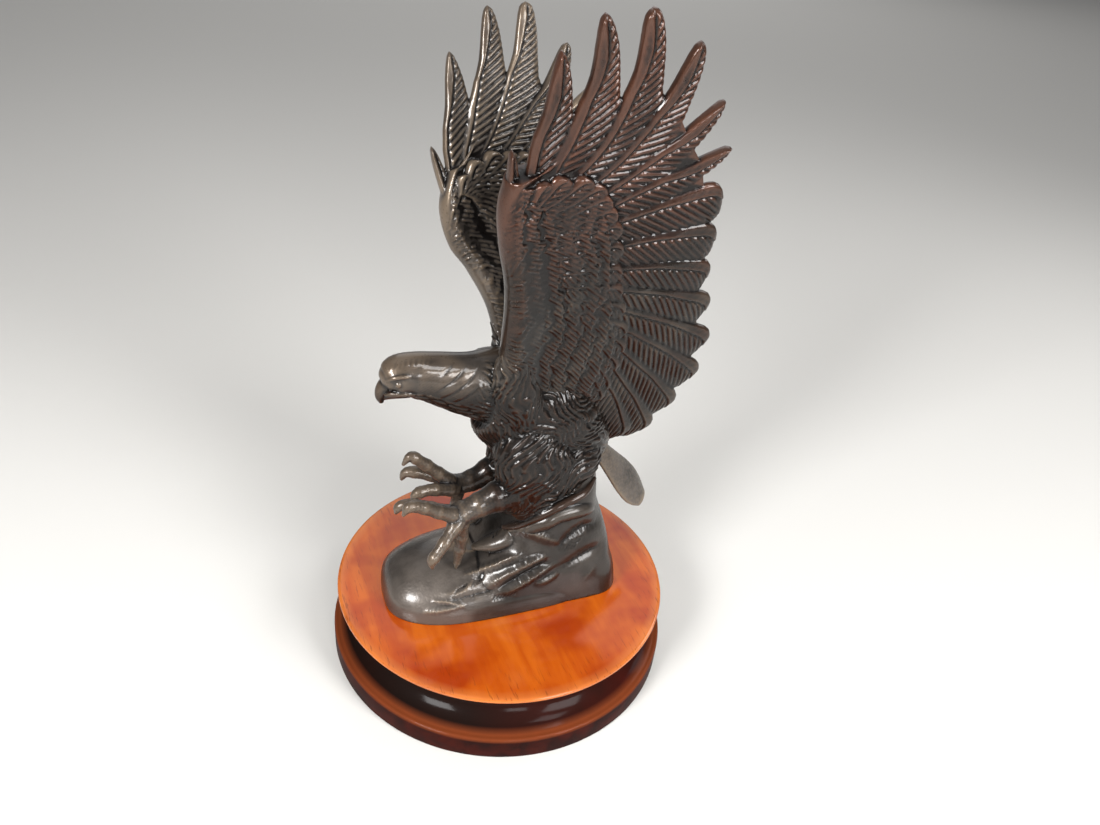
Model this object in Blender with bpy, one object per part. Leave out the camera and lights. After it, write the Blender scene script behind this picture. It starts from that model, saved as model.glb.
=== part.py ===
"""Eagle statue: a bird landing on a rock, cast in one piece, on a turned wooden plinth.

Run it with blender --background --python part.py, or from Blender's text editor.
Metres, +Z up. The origin is the middle of the plinth's underside. The bird looks along -X.
"""

import math

import bmesh
import bpy
import numpy as np

# Driving dimensions of the plinth, in metres
PLINTH_HEIGHT = 0.033
TOP_DISC_RADIUS = 0.075
TOP_DISC_EDGE = 0.0042
LOWER_DISC_RADIUS = 0.0772
LOWER_DISC_EDGE = 0.0112
COVE_DEPTH = 0.0085
EDGE_ROUNDING = 0.0012
PLINTH_SEGMENTS = 60

# Driving dimension of the casting: from the plinth's top to the highest feather tip
FIGURE_HEIGHT = 0.2530
SEAT_GAP = 0.0003

# The figure is carved in shares of its own height: 253 parts high
PARTS_HIGH = 253.0
PART = FIGURE_HEIGHT / PARTS_HIGH
SKIN = 1.25
SOLID_TRIANGLES = 8000

BRONZE = (0.055, 0.030, 0.020)
VARNISHED_WOOD = (0.55, 0.17, 0.035)


def clear_scene():
    for old in list(bpy.data.objects):
        bpy.data.objects.remove(old, do_unlink=True)


def finish_material(name, colour, roughness, metallic):
    material = bpy.data.materials.new(name)
    material.use_nodes = True
    shader = material.node_tree.nodes["Principled BSDF"]
    shader.inputs["Base Color"].default_value = (*colour, 1.0)
    shader.inputs["Roughness"].default_value = roughness
    shader.inputs["Metallic"].default_value = metallic
    return material


# Points of the figure are (forward, left, up) in parts of its height.
# Forward is where the bird looks, and up is counted from the plinth's top.


def smooth_line(points, count):
    """A smooth line through the points, as count samples of every column."""
    points = np.asarray(points, float)
    ends = np.vstack([2 * points[0] - points[1], points, 2 * points[-1] - points[-2]])
    place = np.linspace(0, len(points) - 1, count)
    start = np.minimum(place.astype(int), len(points) - 2)
    t = (place - start)[:, None]
    a, b, c, d = (ends[start + k] for k in range(4))
    return 0.5 * (
        2 * b
        + (c - a) * t
        + (2 * a - 5 * b + 4 * c - d) * t**2
        + (3 * b - a - 3 * c + d) * t**3
    )


def unit(vectors):
    return vectors / np.maximum(np.linalg.norm(vectors, axis=-1, keepdims=True), 1e-9)


class Carving:
    """Closed shells that overlap, gathered before one skin is drawn over them."""

    def __init__(self):
        self.points = []
        self.faces = []

    def loft(self, rings):
        """A closed shell through the rings, with a fan over each end."""
        rings = np.asarray(rings, float)
        count, sides, _ = rings.shape
        first = len(self.points)
        self.points.extend(rings.reshape(-1, 3))
        for row in range(count - 1):
            for k in range(sides):
                low = first + row * sides
                high = low + sides
                after = (k + 1) % sides
                self.faces.append((low + k, low + after, high + after, high + k))
        for row, turn in ((0, -1), (count - 1, 1)):
            middle = len(self.points)
            self.points.append(rings[row].mean(axis=0))
            for k in range(sides):
                edge = (first + row * sides + k, first + row * sides + (k + 1) % sides)
                self.faces.append((*edge[::turn], middle))

    def limb(self, stations, count, sides, level=(0, 1, 0)):
        """A round limb. Each station is a point, its half width along level and its half height."""
        line = smooth_line(stations, count)
        centres, widths, heights = line[:, :3], line[:, 3:4], line[:, 4:5]
        along = unit(np.gradient(centres, axis=0))
        across = unit(np.asarray(level, float) - (along @ np.asarray(level, float))[:, None] * along)
        upward = np.cross(along, across)
        turn = np.linspace(0, 2 * math.pi, sides, endpoint=False)
        rings = (
            centres[:, None]
            + (across * widths)[:, None] * np.cos(turn)[None, :, None]
            + (upward * heights)[:, None] * np.sin(turn)[None, :, None]
        )
        self.loft(rings)


# The rock: a low slab with a rounded nose, and a column that rises to the bird's thighs

# Rows of the rock: up, forward of the middle, half length, half width, squareness
SLAB = (
    (-3.0, 4.0, 52.0, 28.0, 2.9),
    (7.5, 4.0, 51.5, 27.5, 2.9),
    (12.0, 4.5, 49.0, 25.0, 2.8),
    (17.0, 5.5, 43.0, 20.0, 2.6),
    (21.5, 7.0, 31.0, 12.0, 2.4),
)
COLUMN = (
    (-3.0, -12.0, 39.0, 27.0, 5.5),
    (8.0, -12.5, 37.5, 26.5, 5.0),
    (16.0, -14.0, 34.0, 25.5, 4.0),
    (25.0, -17.0, 29.0, 24.0, 3.4),
    (35.0, -19.0, 24.0, 22.5, 3.0),
    (46.0, -20.0, 19.5, 21.0, 2.8),
    (58.0, -20.0, 18.5, 20.0, 2.6),
    (70.0, -18.0, 17.0, 18.0, 2.4),
    (80.0, -16.0, 13.0, 14.0, 2.2),
)
ROCK_SIDES = 44

# Folds of the rock, each from low in front to high behind, with its thickness
FOLDS = (
    (((12, 13, 42), (-2, 20, 43), (-14, 21, 49), (-28, 16, 54), (-37, 2, 56)), 3.8),
    (((13, 20, 31), (2, 24, 36), (-12, 23, 37), (-28, 18, 42), (-41, 4, 44)), 4.0),
    (((32, 21, 17), (12, 25, 24), (-6, 25.5, 30), (-16, 24, 34), (-28, 21, 33)), 2.7),
    (((30, 24, 11), (10, 26.5, 16), (-8, 27, 24), (-20, 25, 28), (-33, 21, 27)), 2.5),
    (((20, 26.5, 6), (2, 27.5, 11), (-14, 27.5, 18), (-28, 25, 22), (-45, 12, 25)), 2.5),
    (((44, 20, 10), (26, 26, 9), (6, 28, 5), (-20, 28, 6), (-40, 25, 9)), 2.4),
)


def rock_ring(up, forward, half_length, half_width, squareness):
    turn = np.linspace(0, 2 * math.pi, ROCK_SIDES, endpoint=False)
    power = 2 / squareness
    x = np.sign(np.cos(turn)) * np.abs(np.cos(turn)) ** power
    y = np.sign(np.sin(turn)) * np.abs(np.sin(turn)) ** power
    ring = np.empty((ROCK_SIDES, 3))
    ring[:, 0] = forward + half_length * x
    ring[:, 1] = half_width * y
    ring[:, 2] = up
    return ring


def carve_rock(carving):
    for rows in (SLAB, COLUMN):
        line = smooth_line(rows, 3 * len(rows))
        carving.loft([rock_ring(*row) for row in line])
    for side in (1, -1):
        for points, thickness in FOLDS:
            stations = [(f, side * l, u, thickness, thickness * 0.8) for f, l, u in points]
            for end in (0, -1):
                stations[end] = (*stations[end][:3], thickness * 0.35, thickness * 0.3)
            carving.limb(stations, 16, 10)


# The bird's body, neck and head: forward, left, up, half width, half height

BODY = (
    (16.0, 0, 103.0, 9.0, 10.0),
    (10.0, 0, 102.0, 14.0, 18.0),
    (0.0, 0, 96.0, 17.0, 22.5),
    (-12.0, 0, 87.0, 18.0, 24.0),
    (-24.0, 0, 78.0, 16.0, 20.0),
    (-34.0, 0, 70.0, 12.0, 13.0),
    (-40.0, 0, 64.0, 6.5, 6.0),
)
NECK = (
    (-2.0, 0, 101.0, 13.5, 17.5),
    (10.0, 0, 104.0, 12.0, 16.0),
    (22.0, 0, 106.5, 10.2, 13.0),
    (34.0, 0, 110.5, 8.8, 10.4),
    (43.0, 0, 112.8, 8.0, 8.9),
    (50.0, 0, 112.8, 7.4, 8.2),
    (54.5, 0, 112.0, 5.4, 6.2),
    (56.6, 0, 111.5, 2.4, 3.0),
)
BEAK = (
    (51.0, 0, 109.0, 4.6, 4.6),
    (55.5, 0, 108.6, 3.7, 4.3),
    (58.2, 0, 106.2, 2.8, 3.1),
    (59.0, 0, 103.2, 1.9, 2.0),
    (58.2, 0, 100.6, 0.8, 0.9),
)
LOWER_BEAK = (
    (48.0, 0, 105.6, 4.0, 2.2),
    (53.0, 0, 104.6, 3.0, 1.7),
    (56.4, 0, 104.2, 1.4, 0.9),
)
BROW = ((46.5, 5.6, 116.6, 1.6, 1.4), (51.5, 5.4, 116.2, 1.9, 1.5), (55.6, 3.4, 113.6, 1.2, 1.1))
CROWN = ((38.0, 0, 117.5, 6.0, 3.0), (46.0, 0, 117.8, 6.4, 3.6), (52.5, 0, 116.0, 4.6, 3.0))


def carve_bird(carving):
    carving.limb(BODY, 18, 20)
    carving.limb(NECK, 20, 18)
    carving.limb(BEAK, 12, 10)
    carving.limb(LOWER_BEAK, 8, 10)
    carving.limb(CROWN, 8, 12)
    for side in (1, -1):
        carving.limb([(f, side * l, u, w, h) for f, l, u, w, h in BROW], 8, 8)


# Legs and feet. The left foot reaches further forward than the right one.

# The thigh is a deep trouser of feathers that ends on the rock. The shank leaves its front.
NEAR_THIGH = (
    (-16.0, 7.0, 88.0, 5.0, 9.0),
    (-9.0, 11.0, 80.0, 9.5, 18.0),
    (-5.0, 13.0, 68.0, 10.5, 18.5),
    (-2.0, 14.0, 58.0, 10.0, 15.0),
    (0.0, 14.5, 50.0, 8.5, 9.5),
    (1.0, 14.5, 45.0, 4.0, 4.0),
)
NEAR_SHANK = (
    (0.0, 14.0, 60.0, 7.5, 8.5),
    (9.0, 14.2, 57.5, 6.2, 7.2),
    (16.0, 14.2, 55.0, 5.2, 5.6),
    (22.0, 14.0, 52.6, 4.8, 4.9),
    (28.5, 14.2, 50.8, 5.0, 4.2),
    (32.0, 14.4, 50.4, 3.0, 2.4),
)
FAR_THIGH = (
    (-18.0, -7.0, 84.0, 5.0, 9.0),
    (-12.0, -11.0, 76.0, 9.5, 17.0),
    (-9.0, -12.5, 64.0, 10.5, 17.5),
    (-6.0, -13.0, 53.0, 9.5, 13.5),
    (-5.0, -13.5, 46.0, 7.5, 8.5),
    (-4.0, -13.5, 41.0, 4.0, 4.0),
)
FAR_SHANK = (
    (-4.0, -13.0, 54.0, 7.2, 8.0),
    (4.0, -12.6, 50.5, 5.8, 6.6),
    (10.0, -12.2, 48.0, 4.9, 5.3),
    (16.0, -12.0, 46.4, 4.5, 4.6),
    (22.0, -12.0, 46.2, 4.8, 4.0),
    (25.5, -12.0, 46.6, 2.8, 2.3),
)
# Each toe: its points from the ball of the foot to the claw's point
NEAR_TOES = (
    ((27, 15, 51.0), (35, 17, 56.0), (43, 18.5, 61.5), (48.5, 19.5, 63.5), (51.5, 20, 60.0)),
    ((27, 13, 50.0), (36, 10.5, 53.0), (44, 8, 54.8), (49.5, 7, 54.6), (51.5, 6.5, 50.5)),
    ((27, 16.5, 50.0), (32, 20.0, 45.5), (36.5, 22.5, 41.0), (40, 24.0, 37.0), (40, 24.5, 33.0)),
    ((25, 13.5, 49.0), (24.5, 13.5, 42.0), (24.5, 13.0, 34.5), (25.5, 13, 27.5), (26.5, 13, 20.0)),
)
FAR_TOES = (
    ((21, -11.5, 46.5), (29, -11.0, 55.0), (36, -10.5, 62.0), (41, -10.5, 65.8), (44.5, -10.5, 62.0)),
    ((21, -13.0, 46.0), (29, -15.0, 50.0), (37, -16.5, 52.6), (41.5, -17.5, 52.4), (43.5, -18, 48.5)),
    ((21, -9.5, 46.0), (28, -7.0, 48.5), (35, -5.5, 50.5), (40, -5.0, 49.5), (41.5, -5, 45.5)),
    ((19.5, -12, 45.0), (19.5, -12, 39.0), (20.0, -12, 32.5), (21.0, -12, 26.0), (22, -12, 18.0)),
)
TOE_THICKNESS = (3.9, 3.3, 3.1, 2.5, 0.8)


def carve_feet(carving):
    for thigh, shank, toes in ((NEAR_THIGH, NEAR_SHANK, NEAR_TOES), (FAR_THIGH, FAR_SHANK, FAR_TOES)):
        carving.limb(thigh, 16, 14)
        carving.limb(shank, 14, 12)
        for toe in toes:
            stations = [(*point, thick, thick) for point, thick in zip(toe, TOE_THICKNESS)]
            carving.limb(stations, 14, 10, level=(0.2, 1, 0.1))


# Feathers are blades that follow the wing's own curved face, which leans outward as it rises


class Wing:
    """One raised wing. Its face is written as left = f(forward, up)."""

    def __init__(self, side, root_left, root_up, lean, cup):
        self.side = side
        self.root_left = root_left
        self.root_up = root_up
        self.lean = lean
        self.cup = cup

    def on_face(self, flat):
        """The point of the wing's middle face at (forward, up)."""
        forward, up = flat[..., 0], flat[..., 1]
        left = self.root_left + self.lean * (up - self.root_up)
        left = left + self.cup * (1 - ((forward + 20) / 42) ** 2)
        return np.stack([forward, self.side * left, up], axis=-1)

    def outward(self, flat):
        step = 0.5
        along = self.on_face(flat + (step, 0)) - self.on_face(flat - (step, 0))
        rise = self.on_face(flat + (0, step)) - self.on_face(flat - (0, step))
        return unit(np.cross(along, rise)) * -1.0


NEAR_WING = Wing(side=1, root_left=14.0, root_up=120.0, lean=0.24, cup=0.0)
FAR_WING = Wing(side=-1, root_left=12.0, root_up=112.0, lean=0.25, cup=0.0)

# Flight feathers from the leading one round to the rump: tips as (forward, up)
NEAR_TIPS = (
    (10.4, 240.4), (-0.6, 250.9), (-15.1, 252.9), (-34.1, 243.9), (-48.7, 225.5),
    (-57.0, 209.0), (-60.4, 189.8), (-63.3, 172.2), (-65.6, 155.4), (-70.3, 139.0),
    (-75.2, 120.2), (-75.0, 101.7), (-67.7, 85.6), (-58.9, 72.7), (-48.1, 71.0),
)
FAR_TIPS = (
    (20.3, 222.8), (5.5, 238.0), (-9.2, 239.7), (-25.9, 226.4), (-39.0, 213.0),
    (-48.0, 196.0), (-53.0, 178.0), (-57.0, 160.0), (-60.0, 144.0), (-63.0, 128.0),
    (-66.0, 112.0), (-66.0, 97.0), (-61.0, 84.0), (-53.0, 74.0), (-45.0, 70.0),
)
# Lines that the feathers grow from, from the wrist down to the rump
NEAR_ROOTS = ((10.5, 194.0), (6.0, 187.0), (2.3, 178.3), (-3.0, 163.9), (-9.0, 149.0), (-16.7, 135.0), (-24.0, 112.0))
FAR_ROOTS = ((17.3, 173.6), (14.2, 171.6), (11.0, 168.5), (6.0, 160.0), (-3.0, 143.0), (-13.0, 126.0), (-23.0, 106.0))
# The leading edge of the arm, from the shoulder up to the wrist
NEAR_EDGE = ((2.0, 108.0), (5.0, 124.0), (10.0, 142.0), (15.5, 158.0), (20.2, 174.0), (22.8, 188.0), (22.0, 200.0))
FAR_EDGE = ((3.0, 104.0), (5.4, 115.7), (9.0, 131.0), (16.7, 145.5), (23.2, 154.7), (26.4, 168.0), (23.4, 182.0))
NEAR_ALULA = ((17.0, 186.0), (20.9, 209.7))
FAR_ALULA = ((22.0, 170.0), (28.6, 190.9))
NEAR_BEND, FAR_BEND = 13.0, 8.0

FLIGHT_HALF_WIDTH = 7.4
FLIGHT_THICKNESS = 4.2
REAR_HALF_WIDTH = 8.6
FINGERS = 6
FLIGHT_STAGGER = -0.9
ARM_THICKNESS = 11.0
WEB_THICKNESS = 3.4
WEB_REACH = (0.64, 0.04, 0.88)
ARM_SCALES = 9
COVERT_LAYERS = (
    # share of the flight feather's length, half width, thickness
    (0.40, 6.6, 6.6),
    (0.22, 6.0, 8.4),
)


def tip_profile(distance, full, fingered):
    """The half width at this distance from the feather's tip."""
    if fingered:
        marks = (0.0, 1.2, 4.0, 9.0, 18.0, 26.0, 34.0)
        widths = (0.0, 0.32, 0.44, 0.53, 0.66, 0.92, 1.0)
    else:
        marks = (0.0, 1.0, 3.0, 6.0, 11.0)
        widths = (0.0, 0.42, 0.72, 0.92, 1.0)
    return full * np.interp(distance, marks, widths)


def feather_line(root, tip, bend, reach, rows):
    """Points down a feather's bent shaft, closer together towards its end."""
    root, tip = np.asarray(root, float), np.asarray(tip, float)
    run = tip - root
    aside = np.array([-run[1], run[0]]) / np.linalg.norm(run)
    middle = (root + tip) / 2 + aside * bend * 2
    s = reach * np.sin(np.linspace(0, math.pi / 2, rows))[:, None] ** 0.9
    return (1 - s) ** 2 * root + 2 * s * (1 - s) * middle + s**2 * tip


def carve_blade(carving, wing, line, half_width, thickness, fingered, stagger, across):
    """One feather: a thin closed blade along its line on the wing's face."""
    tangent = unit(np.gradient(line, axis=0))
    sideways = np.stack([-tangent[:, 1], tangent[:, 0]], axis=1)
    steps = np.linalg.norm(np.diff(line, axis=0), axis=1)
    from_root = np.concatenate([[0.0], np.cumsum(steps)])
    distance = from_root[-1] - from_root
    half = np.maximum(tip_profile(distance, half_width, fingered), 0.12)
    half *= np.interp(from_root, (0.0, 16.0), (0.75, 1.0))
    thick = thickness * np.interp(distance, (0.0, 2.0, 10.0), (0.30, 0.75, 1.0))
    t = np.linspace(-1, 1, across)
    flat = line[:, None] + sideways[:, None] * (half[:, None] * t)[..., None]
    face = wing.on_face(flat)
    normal = wing.outward(flat)
    crown = np.sqrt(np.maximum(1 - np.abs(t) ** 2.6, 0.0))
    rise = thick[:, None] / 2 * (0.18 + 0.82 * crown)
    shift = stagger * t[None, :]
    outer = face + normal * (shift + rise)[..., None]
    inner = face + normal * (shift - rise)[..., None]
    carving.loft(np.concatenate([outer, inner[:, ::-1]], axis=1))


def carve_web(carving, wing, edge, rear):
    """The arm and the sheet behind it, thick and round in front and thin behind."""
    count, across = 24, 14
    front, back = smooth_line(edge, count), smooth_line(rear, count)
    u = np.linspace(0, 1, across) ** 1.5
    flat = front[:, None] + (back - front)[:, None] * u[None, :, None]
    depth = np.linalg.norm(flat - flat[:, :1], axis=2)
    half = ARM_THICKNESS / 2
    round_front = np.sqrt(np.clip(1 - (1 - depth / half) ** 2, 0, 1)) * (depth < half) + (depth >= half)
    thick = np.interp(depth, (0, half, 16.0, 34.0), (ARM_THICKNESS, ARM_THICKNESS, 6.0, WEB_THICKNESS))
    rise = thick / 2 * round_front
    rise[:, 0] = 0.05
    face, normal = wing.on_face(flat), wing.outward(flat)
    outer = face + normal * rise[..., None]
    inner = face - normal * rise[..., None]
    carving.loft(np.concatenate([outer, inner[:, ::-1]], axis=1))


def flight_bend(number, most):
    """The long fingers sweep back and up in a curve. The others are nearly straight."""
    spread = 1.5 if number < 2 else 2.3
    return most * math.exp(-(((number - 2) / spread) ** 2))


def carve_wing(carving, wing, tips, roots, edge, alula, most_bend, rows, across):
    starts = smooth_line(roots, len(tips))
    shafts = []
    for number, (root, tip) in enumerate(zip(starts, tips)):
        bend = flight_bend(number, most_bend)
        shafts.append((root, tip, bend))
        line = feather_line(root, tip, bend, 1.0, rows)
        fingered = number < FINGERS
        half_width = FLIGHT_HALF_WIDTH if fingered else REAR_HALF_WIDTH
        carve_blade(carving, wing, line, half_width, FLIGHT_THICKNESS, fingered, FLIGHT_STAGGER, across)
    for reach, half_width, thickness in COVERT_LAYERS:
        for shaft in shafts:
            line = feather_line(*shaft, reach, rows)
            carve_blade(carving, wing, line, half_width, thickness, False, FLIGHT_STAGGER, across)
    # Small coverts lie like scales over the arm
    middles = smooth_line(edge, ARM_SCALES + 2)[1:-1]
    ends = smooth_line(list(reversed(roots)), ARM_SCALES + 2)[1:-1]
    for start, end in zip(middles, ends):
        line = feather_line(start + (end - start) * 0.2, end + (-4.0, 5.0), 1.0, 1.0, rows // 2)
        carve_blade(carving, wing, line, 6.5, 9.6, False, FLIGHT_STAGGER, across)
    first, growth, most = WEB_REACH
    rear = [
        feather_line(*shaft, min(first + growth * number, most), 3)[-1]
        for number, shaft in enumerate(shafts)
    ]
    carve_web(carving, wing, edge, rear[::-1])
    line = feather_line(*alula, 0.0, 1.0, rows)
    carve_blade(carving, wing, line, 3.4, 4.6, False, 0.0, across)


# The tail: a narrow fan that points down behind, rolled a little towards the viewer

TAIL_ROOT = (-32.0, 0.0, 76.0)
TAIL_TIP = (-68.0, 0.0, 30.5)
TAIL_ROLL = math.radians(24)
TAIL_THICKNESS = 4.6
TAIL_HALF_WIDTHS = (6.0, 6.0, 7.5, 9.2, 10.2, 9.2, 5.0)


def carve_tail(carving):
    root, tip = np.array(TAIL_ROOT), np.array(TAIL_TIP)
    along = unit(tip - root)
    flat_side = np.cross(along, (0, 1, 0))
    across = np.cos(TAIL_ROLL) * np.array([0, 1.0, 0]) - np.sin(TAIL_ROLL) * flat_side * -1
    count = len(TAIL_HALF_WIDTHS)
    stations = []
    for k, half in enumerate(TAIL_HALF_WIDTHS):
        share = k / (count - 1)
        thick = TAIL_THICKNESS / 2 * (1.35 - 0.45 * share)
        stations.append((*(root + (tip - root) * share), half, thick))
    carving.limb(stations, 18, 18, level=tuple(across))


def figure_mesh(name, carving):
    """The gathered shells as one mesh, in metres, standing on the plinth."""
    points = np.asarray(carving.points) * PART
    points[:, :2] *= -1
    points[:, 2] += PLINTH_HEIGHT + SEAT_GAP
    mesh = bpy.data.meshes.new(name)
    mesh.from_pydata(points.tolist(), [], carving.faces)
    mesh.validate()
    return mesh


def add_object(name, mesh, material):
    made = bpy.data.objects.new(name, mesh)
    bpy.context.scene.collection.objects.link(made)
    made.data.materials.append(material)
    return made


def foot_cutter():
    """A box below the casting's seat. It cuts the rock off flat."""
    reach = 3 * TOP_DISC_RADIUS
    seat = PLINTH_HEIGHT + SEAT_GAP
    mesh = bpy.data.meshes.new("foot_cutter")
    shape = bmesh.new()
    bmesh.ops.create_cube(shape, size=1.0)
    bmesh.ops.scale(shape, vec=(reach, reach, PLINTH_HEIGHT), verts=shape.verts)
    bmesh.ops.translate(shape, vec=(0, 0, seat - PLINTH_HEIGHT / 2), verts=shape.verts)
    shape.to_mesh(mesh)
    shape.free()
    cutter = bpy.data.objects.new("foot_cutter", mesh)
    bpy.context.scene.collection.objects.link(cutter)
    cutter.hide_render = True
    cutter.display_type = "WIRE"
    return cutter


def build_casting():
    carving = Carving()
    carve_rock(carving)
    carve_bird(carving)
    carve_feet(carving)
    carve_tail(carving)
    rows, across = 16, 7
    carve_wing(carving, NEAR_WING, NEAR_TIPS, NEAR_ROOTS, NEAR_EDGE, NEAR_ALULA, NEAR_BEND, rows, across)
    carve_wing(carving, FAR_WING, FAR_TIPS, FAR_ROOTS, FAR_EDGE, FAR_ALULA, FAR_BEND, rows, across)
    bronze = finish_material("dark_bronze", BRONZE, 0.32, 0.6)
    casting = add_object("eagle_casting", figure_mesh("eagle_casting", carving), bronze)
    skin = casting.modifiers.new("Skin", "REMESH")
    skin.mode = "VOXEL"
    skin.voxel_size = SKIN * PART
    bpy.context.view_layer.update()
    dense = len(casting.evaluated_get(bpy.context.evaluated_depsgraph_get()).data.polygons)
    thin = casting.modifiers.new("Thin", "DECIMATE")
    thin.ratio = SOLID_TRIANGLES / (2 * dense)
    foot = casting.modifiers.new("Foot", "BOOLEAN")
    foot.operation = "DIFFERENCE"
    foot.object = foot_cutter()
    return casting


def plinth_profile():
    """The turned outline from the top's middle to the underside's middle, as (radius, height)."""
    top = PLINTH_HEIGHT
    r = EDGE_ROUNDING
    profile = [(0.0, top), (TOP_DISC_RADIUS - 1.5 * r, top)]
    profile += [(TOP_DISC_RADIUS - 0.4 * r, top - 0.35 * r), (TOP_DISC_RADIUS, top - 1.2 * r)]
    under_top = top - TOP_DISC_EDGE
    profile += [(TOP_DISC_RADIUS - 0.3 * r, under_top + 0.3 * r), (TOP_DISC_RADIUS - 1.2 * r, under_top)]
    cove_top, cove_foot = under_top, LOWER_DISC_EDGE + 0.5 * r
    upper, lower = TOP_DISC_RADIUS - 1.4 * r, LOWER_DISC_RADIUS - 1.6 * r
    steps = 6
    for k in range(1, steps):
        share = k / steps
        height = cove_top + (cove_foot - cove_top) * share
        radius = upper + (lower - upper) * share
        radius -= COVE_DEPTH * math.sin(math.pi * share) ** 0.8
        profile.append((radius, height))
    profile += [(lower, cove_foot), (LOWER_DISC_RADIUS - 0.4 * r, LOWER_DISC_EDGE)]
    profile += [(LOWER_DISC_RADIUS, LOWER_DISC_EDGE - r), (LOWER_DISC_RADIUS, 1.5 * r)]
    profile += [(LOWER_DISC_RADIUS - r, 0.0), (0.0, 0.0)]
    return profile


def build_plinth():
    profile = plinth_profile()
    mesh = bpy.data.meshes.new("turned_plinth")
    shape = bmesh.new()
    corners = [shape.verts.new((radius, 0.0, height)) for radius, height in profile]
    edges = [shape.edges.new(pair) for pair in zip(corners, corners[1:])]
    bmesh.ops.spin(
        shape, geom=corners + edges, cent=(0, 0, 0), axis=(0, 0, 1),
        angle=2 * math.pi, steps=PLINTH_SEGMENTS, use_merge=False,
    )
    bmesh.ops.remove_doubles(shape, verts=shape.verts, dist=1e-6)
    bmesh.ops.recalc_face_normals(shape, faces=shape.faces)
    shape.to_mesh(mesh)
    shape.free()
    mesh.shade_smooth()
    mesh.set_sharp_from_angle(angle=math.radians(35))
    wood = finish_material("varnished_wood", VARNISHED_WOOD, 0.25, 0.0)
    return add_object("turned_plinth", mesh, wood)


def main():
    clear_scene()
    build_plinth()
    build_casting()


main()
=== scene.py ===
"""Looks of the eagle statue: a bronze-finished eagle and rock on a turned, varnished plinth.

Metres, +Z up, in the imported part's own frame. The bird looks along -X.
"""

import math

import bpy
import numpy as np
from mathutils import Matrix, Vector


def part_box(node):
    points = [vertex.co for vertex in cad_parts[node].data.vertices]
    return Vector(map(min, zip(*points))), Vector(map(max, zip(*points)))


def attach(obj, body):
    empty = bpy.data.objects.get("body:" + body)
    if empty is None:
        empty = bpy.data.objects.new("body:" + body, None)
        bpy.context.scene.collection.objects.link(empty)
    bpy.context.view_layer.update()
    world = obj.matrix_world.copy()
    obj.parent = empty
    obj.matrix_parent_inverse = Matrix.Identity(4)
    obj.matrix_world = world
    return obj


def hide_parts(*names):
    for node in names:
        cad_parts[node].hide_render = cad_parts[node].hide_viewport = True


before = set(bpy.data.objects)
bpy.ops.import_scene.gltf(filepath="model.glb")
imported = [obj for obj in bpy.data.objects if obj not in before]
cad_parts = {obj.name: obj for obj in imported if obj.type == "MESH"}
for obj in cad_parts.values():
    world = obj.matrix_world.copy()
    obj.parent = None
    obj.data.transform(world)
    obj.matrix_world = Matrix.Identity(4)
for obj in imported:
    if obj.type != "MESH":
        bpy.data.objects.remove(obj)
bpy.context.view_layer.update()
casting_low, casting_high = (np.array(corner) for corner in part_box("eagle_casting"))
plinth_high = np.array(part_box("turned_plinth")[1])

# The camera
# It stands in front of the bird's left wing, looks down on it and is tipped a little.

EYE = (-0.1143, -0.2937, 0.3250)
TURN = math.radians(-24.0)
LOOK_DOWN = math.radians(32.57)
TIP = math.radians(5.87)
SENSOR_WIDTH = 36.0
FOCAL_SHARE = 900 / 1100

bpy.ops.object.camera_add()
camera = bpy.context.object
camera.name = "photo_camera"
camera.data.sensor_width = SENSOR_WIDTH
camera.data.lens = FOCAL_SHARE * SENSOR_WIDTH
camera.data.clip_start = 0.01
camera.matrix_world = (
    Matrix.Translation(EYE)
    @ Matrix.Rotation(TURN, 4, "Z")
    @ Matrix.Rotation(math.pi / 2 - LOOK_DOWN, 4, "X")
    @ Matrix.Rotation(TIP, 4, "Z")
)
bpy.context.scene.camera = camera

# The plinth
# A disc of hardwood turned on a lathe, with a thin top disc, a cove and a wider foot.
# It is stained orange-red and varnished, and the casting is fixed on top.
# Its cove is painted near black as shade, and the foot's top edge carries a painted highlight.

PLINTH_SEGMENTS = 192
TOP_INSET, FOOT_TOP = 0.0022, 0.0112
COVE_LIP, COVE_DEPTH = 0.0034, 0.0088
FOOT_ROUND, UNDER_ROUND = 0.0014, 0.0012
# The top disc's thin edge: how far in from its widest place, and how far down from its top
ARRIS = (
    (0.0016, 0.0), (0.0006, 0.0001), (0.0001, 0.0005), (0.0, 0.001),
    (0.0001, 0.0015), (0.0006, 0.0021), (0.0014, 0.0026),
)


def select_only(piece=None):
    for thing in bpy.context.selected_objects:
        thing.select_set(False)
    if piece:
        piece.select_set(True)
        bpy.context.view_layer.objects.active = piece


def paint(hex_colour):
    """An sRGB hex value as linear red, green, blue and alpha."""
    parts = [int(hex_colour[k : k + 2], 16) / 255 for k in (1, 3, 5)]
    return [p / 12.92 if p <= 0.04045 else ((p + 0.055) / 1.055) ** 2.4 for p in parts] + [1.0]


def node(tree, kind, links=None, **settings):
    """Adds a node. Plain settings go on the node or its sockets, and links name another node's output."""
    made = tree.nodes.new("ShaderNode" + kind)
    for key, value in settings.items():
        if hasattr(made, key):
            setattr(made, key, value)
        else:
            made.inputs[key.replace("_", " ")].default_value = value
    for socket, source in (links or {}).items():
        tree.links.new(source, made.inputs[socket])
    return made


def mix(tree, factor, first, second):
    """A colour between two others. Each may be a colour or another node's output."""
    blend = node(tree, "Mix", data_type="RGBA")
    for socket, value in ((blend.inputs[0], factor), (blend.inputs[6], first), (blend.inputs[7], second)):
        if isinstance(value, bpy.types.NodeSocket):
            tree.links.new(value, socket)
        else:
            socket.default_value = value
    return blend.outputs[2]


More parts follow.
